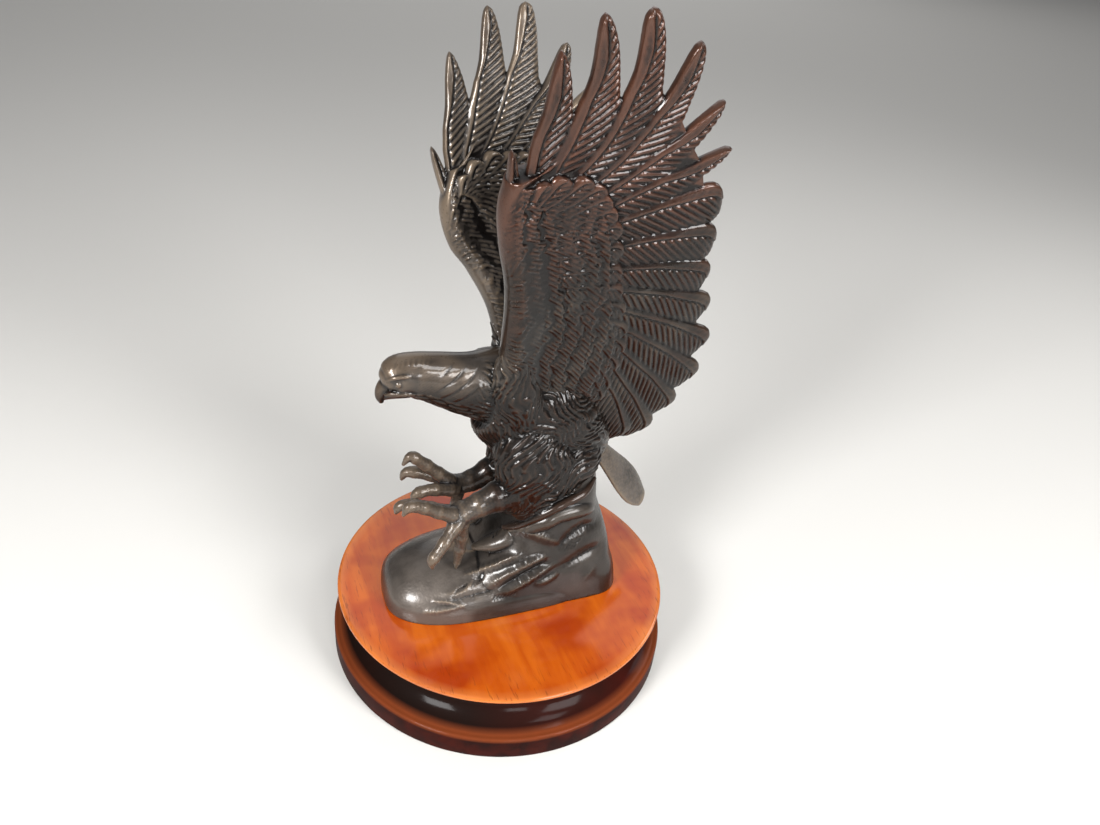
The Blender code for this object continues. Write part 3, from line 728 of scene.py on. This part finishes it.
NEAR_THIGH = (
    (-16.0, 7.0, 88.0, 5.0, 9.0),
    (-9.0, 11.0, 80.0, 9.5, 18.0),
    (-5.0, 13.0, 69.0, 10.0, 17.5),
    (-1.0, 13.0, 60.0, 8.6, 12.5),
    (3.0, 13.4, 53.0, 6.6, 8.0),
    (5.0, 13.6, 48.5, 3.6, 4.0),
)
NEAR_SHANK = (
    (0.0, 14.0, 60.0, 7.5, 8.5),
    (9.0, 14.2, 57.5, 6.2, 7.2),
    (16.0, 14.2, 55.0, 5.2, 5.6),
    (22.0, 14.0, 52.6, 4.8, 4.9),
    (28.5, 14.2, 50.8, 5.0, 4.2),
    (32.0, 14.4, 50.4, 3.0, 2.4),
)
FAR_THIGH = (
    (-18.0, -7.0, 84.0, 5.0, 9.0),
    (-12.0, -11.0, 76.0, 9.5, 17.0),
    (-9.0, -12.5, 65.0, 10.0, 16.5),
    (-5.0, -12.6, 56.0, 8.4, 11.5),
    (-2.0, -13.0, 49.0, 6.2, 7.2),
    (0.0, -13.2, 45.0, 3.4, 3.6),
)
FAR_SHANK = (
    (-4.0, -13.0, 54.0, 7.2, 8.0),
    (4.0, -12.6, 50.5, 5.8, 6.6),
    (10.0, -12.2, 48.0, 4.9, 5.3),
    (16.0, -12.0, 46.4, 4.5, 4.6),
    (22.0, -12.0, 46.2, 4.8, 4.0),
    (25.5, -12.0, 46.6, 2.8, 2.3),
)
NEAR_TOES = (
    ((27, 15, 51.0), (35, 17, 56.0), (43, 18.5, 61.5), (48.5, 19.5, 63.5), (51.5, 20, 60.0)),
    ((27, 13, 50.0), (36, 10.5, 53.0), (44, 8, 54.8), (49.5, 7, 54.6), (51.5, 6.5, 50.5)),
    ((27, 16.5, 50.0), (32, 20.0, 45.5), (36.5, 22.5, 41.0), (40, 24.0, 37.0), (40, 24.5, 33.0)),
    ((25, 13.5, 49.0), (24.5, 13.5, 42.0), (24.5, 13.0, 34.5), (25.5, 13, 27.5), (26.5, 13, 20.0)),
)
FAR_TOES = (
    ((21, -11.5, 46.5), (29, -11.0, 55.0), (36, -10.5, 62.0), (41, -10.5, 65.8), (44.5, -10.5, 62.0)),
    ((21, -13.0, 46.0), (29, -15.0, 50.0), (37, -16.5, 52.6), (41.5, -17.5, 52.4), (43.5, -18, 48.5)),
    ((21, -9.5, 46.0), (28, -7.0, 48.5), (35, -5.5, 50.5), (40, -5.0, 49.5), (41.5, -5, 45.5)),
    ((19.5, -12, 45.0), (19.5, -12, 39.0), (20.0, -12, 32.5), (21.0, -12, 26.0), (22, -12, 18.0)),
)
TOE_THICKNESS = (3.6, 2.7, 2.5, 2.1, 0.6)
# Below the belly each thigh widens into a skirt of feathers, whose hem is a smooth rounded ridge
SKIRT = (
    (3.0, 12.5, 48.0, 6.0, 7.0), (-7.0, 13.0, 56.5, 8.4, 11.0), (-17.0, 12.6, 63.5, 8.6, 11.5),
    (-27.0, 11.0, 68.5, 8.0, 10.0), (-35.0, 7.0, 72.0, 5.0, 6.0),
)
HEM = (
    (5.5, 11.0, 37.0, 1.0, 0.9), (1.0, 14.5, 39.8, 2.0, 1.8), (-4.3, 18.3, 45.0, 2.3, 2.1),
    (-10.0, 21.0, 50.0, 2.4, 2.1), (-17.0, 22.0, 54.0, 2.2, 2.0), (-27.0, 20.6, 57.0, 1.9, 1.7),
    (-34.0, 15.5, 60.0, 0.8, 0.8),
)


def thigh_feathers(along, around, turn):
    return plumage(along, around, 7.5, 2.7, 1.4)


def scutes(along, around, turn):
    """Plates across a toe, rounded, with a knuckle every few of them."""
    plates = 0.18 * bump(along / 1.5 + 0.3 * np.sin(turn * 2), 1.6)
    plates = plates * bump(around / 1.8 + np.floor(along / 1.5) * 0.5)
    return plates + 0.3 * np.exp(-((np.mod(along, 7.5) - 3.7) ** 2) / 2.5)


for thigh, shank, toes in ((NEAR_THIGH, NEAR_SHANK, NEAR_TOES), (FAR_THIGH, FAR_SHANK, FAR_TOES)):
    limb(thigh, step=0.4, relief=thigh_feathers)
    limb(shank, step=0.35, relief=scutes)
    for toe in toes:
        stations = [(*point, thick, thick) for point, thick in zip(toe, TOE_THICKNESS)]
        limb(stations, step=0.3, level=(0.2, 1, 0.1), relief=scutes)
for side in (1, -1):
    limb(on_side(side, SKIRT), step=0.4, relief=thigh_feathers)
    limb(on_side(side, HEM), step=0.4)

# The tail
# A narrow closed fan behind, rolled a little towards the viewer, with a plain satin skin.

TAIL_ROOT, TAIL_TIP = np.array((-32.0, 0.0, 76.0)), np.array((-68.0, 0.0, 30.5))
TAIL_ROLL = math.radians(44)
TAIL_THICKNESS = 4.6
TAIL_HALF_WIDTHS = (4.8, 4.2, 4.9, 6.5, 8.2, 8.2, 4.8)


def tail_skin(along, around, turn):
    """A thin ridge along both edges, and a speckled skin."""
    specks = 0.10 * np.sin(around * 3.1 + 2 * np.sin(along * 1.3))
    specks = specks * np.sin(along * 2.7 + 1.5 * np.sin(around * 1.7))
    return 0.5 * np.abs(np.cos(turn)) ** 14 + specks


tail_along = unit(TAIL_TIP - TAIL_ROOT)
tail_level, tail_upright = np.array([0, 1.0, 0]), np.cross(tail_along, (0, 1, 0))
tail_across = math.cos(TAIL_ROLL) * tail_level + math.sin(TAIL_ROLL) * tail_upright
tail_stations = []
for k, half in enumerate(TAIL_HALF_WIDTHS):
    share = k / (len(TAIL_HALF_WIDTHS) - 1)
    thick = TAIL_THICKNESS / 2 * (1.35 - 0.45 * share)
    tail_stations.append((*(TAIL_ROOT + (TAIL_TIP - TAIL_ROOT) * share), half, thick))
limb(tail_stations, step=0.4, level=tuple(tail_across), relief=tail_skin)


def body_patina_and_sheen(f, l, u):
    """Rubbed paler on the feet, paler on the tail, and a painted sheen of light from above on the crown and
    neck.
    """
    feet = np.clip((f - 12) / 8, 0, 1) * np.clip((72 - u) / 6, 0, 1)
    tail = np.clip((-36 - f) / 6, 0, 1) * np.clip((78 - u) / 6, 0, 1)
    # Painted sheen: the crown and the top of the neck are made paler, as if lit from above
    crown = np.clip((u - 103) / 9, 0, 1) * np.clip((f - 4) / 12, 0, 1)
    return 0.05 - 0.55 * crown - 0.55 * feet - 0.9 * tail


body = cast_piece("body_and_feet", 0.33, 196000, body_patina_and_sheen, glossy_bronze)
body.data.materials.append(satin_bronze)
centres = np.empty(3 * len(body.data.polygons), np.float32)
body.data.polygons.foreach_get("center", centres)
x, _, z = centres.reshape(-1, 3).T
forward, up = -x / PART, (z - casting_low[2]) / PART
rubbed = ((forward > 9) & (up < 68)) | ((forward < -35) & (up < 73))
body.data.polygons.foreach_set("material_index", rubbed.astype(np.int32))

# The wings
# Cast with the body, in lacquered bronze, and rubbed on the long feathers. Each feather is a blade on
# the wing's own face, which leans outward as it rises. Its front edge stands proud, and behind its
# shaft the barbs are cut as slanting bars.

# The first feathers end free of each other, as fingers
FINGERS = 6
FLIGHT_HALF_WIDTH, REAR_HALF_WIDTH, FLIGHT_THICKNESS = 7.4, 9.4, 4.2
# How far a feather's front edge stands out of the wing, and how pointed each finger is, from 0 to 1
STAGGER = -0.9
SHARPNESS = (1.0, 0.6, 0.0, 0.4, 0.9, 0.9)
# Distances from a finger's tip, with the share of its width there when it is blunt and when pointed
FINGER_MARKS = (0.0, 0.3, 0.8, 1.6, 4.0, 9.0, 18.0, 26.0, 34.0)
BLUNT = (0.0, 0.14, 0.25, 0.35, 0.46, 0.57, 0.70, 0.92, 1.0)
POINTED = (0.0, 0.06, 0.11, 0.18, 0.31, 0.48, 0.67, 0.92, 1.0)
# The same for the rounded feathers behind the fingers, and for coverts
REAR_MARKS = (0.0, 0.2, 0.6, 1.5, 3.2, 6.0, 11.0)
REAR_WIDTHS = (0.0, 0.30, 0.50, 0.72, 0.89, 0.98, 1.0)
COVERT_MARKS = (0.0, 0.15, 0.5, 1.2, 2.2, 3.5, 5.0)
COVERT_WIDTHS = (0.2, 0.42, 0.62, 0.80, 0.92, 0.98, 1.0)
ARM_THICKNESS, WEB_THICKNESS = 11.0, 3.4
# Feather numbers, with the share of each that the sheet between them reaches
WEB_REACH = ((0, 1, 2, 3, 7), (0.22, 0.40, 0.58, 0.72, 0.93))
# The row of large coverts, and the ragged rows of small ones in front of it
COVERT_HALF_WIDTH, COVERT_STEP, COVERT_PITCH, COVERT_COUNT = 5.4, 1.5, 1.8, 16
COVERT_ROW, COVERT_WIDTH, COVERT_BARB = 6.8, 6.4, 2.0


def near_warmth(f, l, u):
    """Rubbed red-brown on the long feathers, and nearly black low down."""
    rubbed = np.clip((u - 150) / 45, 0, 1) * np.clip((f + 70) / 26, 0.15, 1)
    return 0.6 * rubbed + 0.12 * np.sin(f / 5 + u / 8)


def far_patina_and_sheen(f, l, u):
    """Paler than the near wing, in clouds: painted light and glare on its inner face, which the near wing
    shades.
    """
    return -0.6 + 0.2 * np.sin(f / 6 + u / 9)


NEAR_WING = {
    "warmth": near_warmth,
    "side": 1, "root_left": 14.0, "root_up": 120.0, "lean": 0.24, "bend": 13.0,
    "tips": (
        (10.4, 240.4), (-0.6, 250.9), (-15.1, 252.9), (-34.1, 243.9), (-48.7, 225.5),
        (-57.0, 209.0), (-60.4, 189.8), (-63.3, 172.2), (-65.6, 155.4), (-70.3, 139.0),
        (-75.2, 120.2), (-75.0, 101.7), (-67.7, 85.6), (-58.9, 72.7), (-48.1, 71.0),
    ),
    "roots": (
        (10.5, 194.0), (6.0, 187.0), (2.3, 178.3), (-3.0, 163.9),
        (-9.0, 149.0), (-16.7, 135.0), (-24.0, 112.0),
    ),
    "edge": (
        (10.0, 104.0), (12.5, 118.0), (13.6, 132.0), (14.4, 146.0),
        (16.4, 160.0), (20.2, 174.0), (22.8, 188.0), (22.0, 200.0),
    ),
    "alula": ((17.0, 186.0), (20.9, 209.7)),
    "coverts": ((0, 3, 6, 9, 14), (0.15, 0.28, 0.39, 0.38, 0.36), (0.07, 0.17, 0.22, 0.21, 0.20)),
    "front_vane": 2.9, "barb": 2.3,
}
FAR_WING = {
    "warmth": far_patina_and_sheen,
    "side": -1, "root_left": 12.0, "root_up": 112.0, "lean": 0.25, "bend": 8.0,
    "tips": (
        (20.3, 222.8), (5.5, 238.0), (-9.2, 239.7), (-25.9, 226.4), (-39.0, 213.0),
        (-48.0, 196.0), (-53.0, 178.0), (-57.0, 160.0), (-60.0, 144.0), (-63.0, 128.0),
        (-66.0, 112.0), (-66.0, 97.0), (-61.0, 84.0), (-53.0, 74.0), (-45.0, 70.0),
    ),
    "roots": (
        (17.3, 173.6), (14.2, 171.6), (11.0, 168.5), (6.0, 160.0),
        (-3.0, 143.0), (-13.0, 126.0), (-23.0, 106.0),
    ),
    "edge": (
        (3.0, 104.0), (5.4, 115.7), (9.0, 131.0), (16.7, 145.5), (23.2, 154.7), (26.4, 168.0), (23.4, 182.0),
    ),
    "alula": ((22.0, 170.0), (28.6, 190.9)),
    "coverts": ((0, 2, 4, 8, 14), (0.15, 0.27, 0.43, 0.42, 0.38), (0.07, 0.14, 0.22, 0.22, 0.20)),
    "front_vane": 1.6, "barb": 2.1,
}


def on_face(wing, flat):
    """The point of the wing's middle face at (forward, up), and the face's direction to the left."""
    left = wing["root_left"] + wing["lean"] * (flat[..., 1] - wing["root_up"])
    point = np.stack([flat[..., 0], wing["side"] * left, flat[..., 1]], axis=-1)
    return point, unit(np.array([0.0, 1.0, -wing["side"] * wing["lean"]]))


def two_faces(wing, flat, rise, relief=0.0, shift=0.0):
    """A closed shell over both faces of the wing, moved outward by shift."""
    face, normal = on_face(wing, flat)
    outer = face + normal * (shift + rise + relief)[..., None]
    inner = face + normal * (shift - rise - relief)[..., None]
    loft(np.concatenate([outer, inner[:, ::-1]], axis=1))


def feather_line(root, tip, bend, reach, rows):
    """Points down a feather's bent shaft."""
    root, tip = np.asarray(root, float), np.asarray(tip, float)
    run = tip - root
    aside = np.array([-run[1], run[0]]) / np.linalg.norm(run)
    middle = (root + tip) / 2 + aside * bend * 2
    s = reach * np.linspace(0, 1, rows)[:, None]
    return (1 - s) ** 2 * root + 2 * s * (1 - s) * middle + s**2 * tip


def arm_half(depth):
    """Half the thickness of the arm and the sheet behind it, at this distance from its front edge."""
    half = ARM_THICKNESS / 2
    sheet = np.interp(depth, (0, half, 16.0, 34.0), (half, half, 3.0, WEB_THICKNESS / 2))
    return sheet * np.sqrt(np.clip(1 - (1 - np.minimum(depth / half, 1)) ** 2, 0.0004, 1))


def from_edge(wing, flat):
    """Moves points that lie in front of the arm's edge on to it, and gives the distance from it."""
    edge = smooth_line(wing["edge"], 240)
    inward = np.gradient(edge, axis=0)
    inward = unit(np.stack([-inward[:, 1], inward[:, 0]], axis=1))
    flat_list = flat.reshape(-1, 2)
    nearest = np.argmin(((flat_list[:, None] - edge[None]) ** 2).sum(axis=2), axis=1)
    depth = ((flat_list - edge[nearest]) * inward[nearest]).sum(axis=1)
    moved = flat_list + np.maximum(0.3 - depth, 0)[:, None] * inward[nearest]
    return moved.reshape(flat.shape), np.maximum(depth, 0.3).reshape(flat.shape[:-1])


def vane_relief(from_root, distance, from_front, half, front_vane, pitch, height, slope=1.0):
    """The carving of one feather: a smooth front vane, a groove along the shaft, and barbs."""
    shaft_at = np.minimum(front_vane + 0.10 * np.maximum(24 - distance, 0), 0.95 * half)
    behind = from_front - shaft_at
    bars = bump((from_root - np.abs(behind) * slope) / (pitch * math.hypot(1, slope)), 2.2)
    fade = np.clip(distance / 4.0, 0, 1)
    back = height * (bars - 0.6) * np.clip((behind - 0.5) / 0.8, 0, 1) * fade
    free = np.clip((24 - distance) / 8.0, 0, 1)
    wide = np.clip((shaft_at - 3.4) / 1.5, 0, 1)
    faint = 0.05 * free + 0.12 * wide
    front = height * faint * (bars - 0.6) * np.clip((-behind - 0.6) / 0.8, 0, 1) * fade
    groove = -0.7 * np.exp(-(((behind - 0.35) / 0.42) ** 2)) * np.clip(distance / 3.0, 0, 1)
    shaft = 0.35 * np.exp(-(((behind + 0.7) / 0.7) ** 2))
    return back + front + groove + shaft


def blade(
    wing, line, half_width, fingered, pitch, height, front_vane,
    thickness=None, step=0.0, spread=0.0, front_spread=0.0, sharp=0.0,
):
    """One feather, as a thin closed blade with its carving on both faces.

    spread is how much wider its rear vane grows where the next feather covers it, and front_spread
    the share of that by which its front vane widens too.

    With a thickness it is flat. Without, it lies on the arm, and its tip stands step above it.
    """
    tangent = unit(np.gradient(line, axis=0))
    sideways = np.stack([-tangent[:, 1], tangent[:, 0]], axis=1)
    from_root = travelled(line)
    distance = from_root[-1] - from_root
    if fingered:
        tip_marks, widths = FINGER_MARKS, [a + sharp * (b - a) for a, b in zip(BLUNT, POINTED)]
    elif thickness:
        tip_marks, widths = REAR_MARKS, REAR_WIDTHS
    else:
        tip_marks, widths = COVERT_MARKS, COVERT_WIDTHS
    half = np.maximum(half_width * np.interp(distance, tip_marks, widths), 0.1)
    half = half * np.interp(from_root, (0.0, 16.0), (0.75, 1.0))
    widened = 1 + spread * np.interp(distance, (24.0, 36.0), (0.0, 1.0))
    across = max(int((2 + spread) * half_width / 0.45 / COARSER), 10)
    t = np.linspace(-1, 1, across)
    extra = widened[:, None] - 1
    w = half[:, None] * np.where(t > 0, t * widened[:, None], t * (1 + front_spread * extra))
    flat = line[:, None] + sideways[:, None] * w[..., None]
    edge_round = np.sqrt(np.maximum(1 - np.abs(t) ** 6, 0.0))
    if thickness is None:
        flat, depth = from_edge(wing, flat)
        share = (from_root / from_root[-1])[:, None]
        rise = (arm_half(depth) + 0.9 * np.clip(depth / 25, 0, 1) + step * share) * (0.2 + 0.8 * edge_round)
    else:
        end_round = np.interp(distance, (0.0, 0.5, 1.5, 5.0), (0.25, 0.55, 0.85, 1.0))[:, None]
        rise = thickness / 2 * end_round * (0.15 + 0.85 * edge_round)
    front_vane = front_vane + half_width * front_spread * extra
    relief = edge_round * vane_relief(
        from_root[:, None], distance[:, None], w - w[:, :1], half[:, None], front_vane, pitch, height
    )
    shift = STAGGER * t[None, :] * (1.0 if thickness else 0.5)
    two_faces(wing, flat, rise, relief, shift)


def web(wing, rear):
    """The arm and the sheet behind it, thick and round in front and thin behind."""
    front, back = smooth_line(wing["edge"], 200), smooth_line(rear, 200)
    u = np.linspace(0, 1, 90) ** 1.6
    flat = front[:, None] + (back - front)[:, None] * u[None, :, None]
    rise = arm_half(np.linalg.norm(flat - flat[:, :1], axis=2))
    two_faces(wing, flat, rise)


def flight_bend(number, most):
    """The long fingers sweep back and up in a curve. The others are nearly straight."""
    spread = 1.5 if number < 2 else 2.3
    return most * math.exp(-(((number - 2) / spread) ** 2))


def covert_row(wing, reaches, half_width, step, pitch, count):
    """A row of coverts, which lie along the flight feathers and reach the same share of each."""
    tips = np.array(wing["tips"])
    last = len(tips) - 1
    starts = smooth_line(wing["roots"], 10 * last + 1)
    ends = smooth_line(tips, 10 * last + 1)
    for place in np.linspace(0, last, count):
        number = int(round(10 * place))
        reach = float(np.interp(place, *reaches))
        bend = flight_bend(place, wing["bend"])
        length = reach * np.linalg.norm(ends[number] - starts[number])
        if length < 4.0:
            continue
        rows = max(int(length / 0.45 / COARSER), 12)
        line = feather_line(starts[number], ends[number], bend, reach, rows)
        standing = step * float(np.interp(place, (0, 4, 7), (1.0, 1.0, 0.1)))
        blade(wing, line, half_width, False, pitch, 0.9, 1.2, step=standing)


def covert_sheet(wing, rear):
    """The arm's small feathers, in ragged barbed rows that follow its front edge, on both faces."""
    count = int(360 / COARSER)
    front, back = smooth_line(wing["edge"], count), smooth_line(rear, count)
    flat = front[:, None] + (back - front)[:, None] * np.linspace(0, 1, int(200 / COARSER))[None, :, None]
    depth = np.linalg.norm(flat - flat[:, :1], axis=2)
    along = travelled(front)[:, None] + 0 * depth
    waver = 1.5 * np.sin(along / 9.0 + 1.0) + 0.9 * np.sin(depth / 5.0 + along / 4.5)
    waver = waver + 0.6 * np.sin(along / 2.3)
    place = (depth + waver) / COVERT_ROW
    aside = along / COVERT_WIDTH + 0.5 * np.mod(np.floor(place), 2)
    off = 2 * np.mod(aside, 1.0) - 1
    # A feather's tip reaches past its row in the middle and falls short at its sides
    place = place - 0.34 * (1 - off**2) * (0.4 + chance(np.floor(place), np.floor(aside), 6))
    row = np.floor(place)
    local = place - row
    barbs = bump((along + 0.85 * depth + 1.1 * row) / COVERT_BARB, 2.0)
    carved = np.clip((depth - 4.0) / 4.0, 0, 1)
    # Along the front edge the rows give way to small scales
    scales = plumage(0.9 * depth + 0.5 * along, along - 0.3 * depth, 4.6, 2.5, 1.0)
    scales = scales * np.clip(depth / 1.5, 0, 1) * np.clip((9.0 - depth) / 4.0, 0, 1)
    lift = 0.75 + 0.6 * np.clip((flat[..., 1] - 165) / 15, 0, 1)
    band = 1 - np.abs(2 * local**1.3 - 1) ** 3
    relief = (lift * band + 0.65 * barbs * np.sqrt(band) - 0.8) * carved + scales - 0.3
    half = np.where(depth > 8, np.maximum(arm_half(depth), 3.3), arm_half(depth))
    two_faces(wing, flat, half, relief)


for name, wing in (("left_wing", NEAR_WING), ("right_wing", FAR_WING)):
    tips = wing["tips"]
    starts = smooth_line(wing["roots"], len(tips))
    shafts = [(root, tip, flight_bend(k, wing["bend"])) for k, (root, tip) in enumerate(zip(starts, tips))]
    for number, shaft in enumerate(shafts):
        fingered = number < FINGERS
        half_width = FLIGHT_HALF_WIDTH if fingered else REAR_HALF_WIDTH
        line = feather_line(*shaft, 1.0, int(190 / COARSER))
        spread = 0.9 if fingered else 0.3
        front_spread = 0.15 if number == 1 else 0.0
        blade(
            wing, line, half_width, fingered, wing["barb"], 1.0, wing["front_vane"], FLIGHT_THICKNESS,
            spread=spread, front_spread=front_spread, sharp=SHARPNESS[number] if fingered else 0.0,
        )
    rear = [feather_line(*shaft, float(np.interp(k, *WEB_REACH)), 3)[-1] for k, shaft in enumerate(shafts)]
    web(wing, rear[::-1])
    numbers, outer_row, inner_row = wing["coverts"]
    middle_row = [(a + b) / 2 for a, b in zip(outer_row, inner_row)]
    covert_row(wing, (numbers, outer_row), COVERT_HALF_WIDTH, COVERT_STEP, COVERT_PITCH, COVERT_COUNT)
    reaches = [np.interp(k, numbers, middle_row) for k in range(len(tips))]
    bound = [feather_line(*shaft, reach, 3)[-1] for shaft, reach in zip(shafts, reaches)]
    covert_sheet(wing, bound[::-1])
    # The alula, the small feather that stands up from the wrist
    alula = feather_line(*wing["alula"], 0.0, 1.0, 60)
    blade(wing, alula, 4.4, True, 2.0, 0.15, 2.0, thickness=4.6, sharp=0.8)
    cast_piece(name, 0.3, 196000, wing["warmth"], glossy_bronze)

# The floor and the lights
# A plain pale floor and large soft lamps, as in a photo tent.

select_only()
bpy.ops.mesh.primitive_plane_add(size=6, location=(0, 0, 0))
floor = bpy.context.object
floor.name = "floor"
floor_paint = bpy.data.materials.new("pale floor")
floor_paint.use_nodes = True
floor_paint.node_tree.nodes["Principled BSDF"].inputs["Base Color"].default_value = paint("#CCCAC6")
floor_paint.node_tree.nodes["Principled BSDF"].inputs["Roughness"].default_value = 0.9
floor.data.materials.append(floor_paint)

LAMPS = (
    # place, aim, size, power
    ((0.42, -0.80, 0.50), (0, 0, 0.16), 0.38, 9.5),
    ((-0.08, -0.95, 0.36), (0, 0, 0.16), 0.22, 3.0),
    ((0.32, -0.62, 1.00), (0, 0, 0.16), 0.28, 3.5),
    ((-0.66, -0.42, 0.52), (0, 0, 0.18), 0.26, 11.0),
    ((0.80, 0.10, 0.60), (0, 0, 0.15), 0.30, 1.5),
    ((-0.1, 0.4, 1.2), (0, 0, 0.15), 0.8, 1.0),
    ((0.9, 2.4, 1.5), (0.4, 1.2, 0), 2.2, 17.0),
)
for place_at, aim, size, power in LAMPS:
    bpy.ops.object.light_add(type="AREA", location=place_at)
    lamp = bpy.context.object
    lamp.data.size = size
    lamp.data.energy = power
    direction = Vector(place_at) - Vector(aim)
    lamp.rotation_euler = direction.to_track_quat("Z", "Y").to_euler()
world = bpy.data.worlds.new("studio")
world.use_nodes = True
world.node_tree.nodes["Background"].inputs["Color"].default_value = paint("#F2F3F5")
world.node_tree.nodes["Background"].inputs["Strength"].default_value = 0.22
bpy.context.scene.world = world
# The photograph's own contrast, without a film curve that greys the dark bronze
bpy.context.scene.view_settings.view_transform = "Standard"
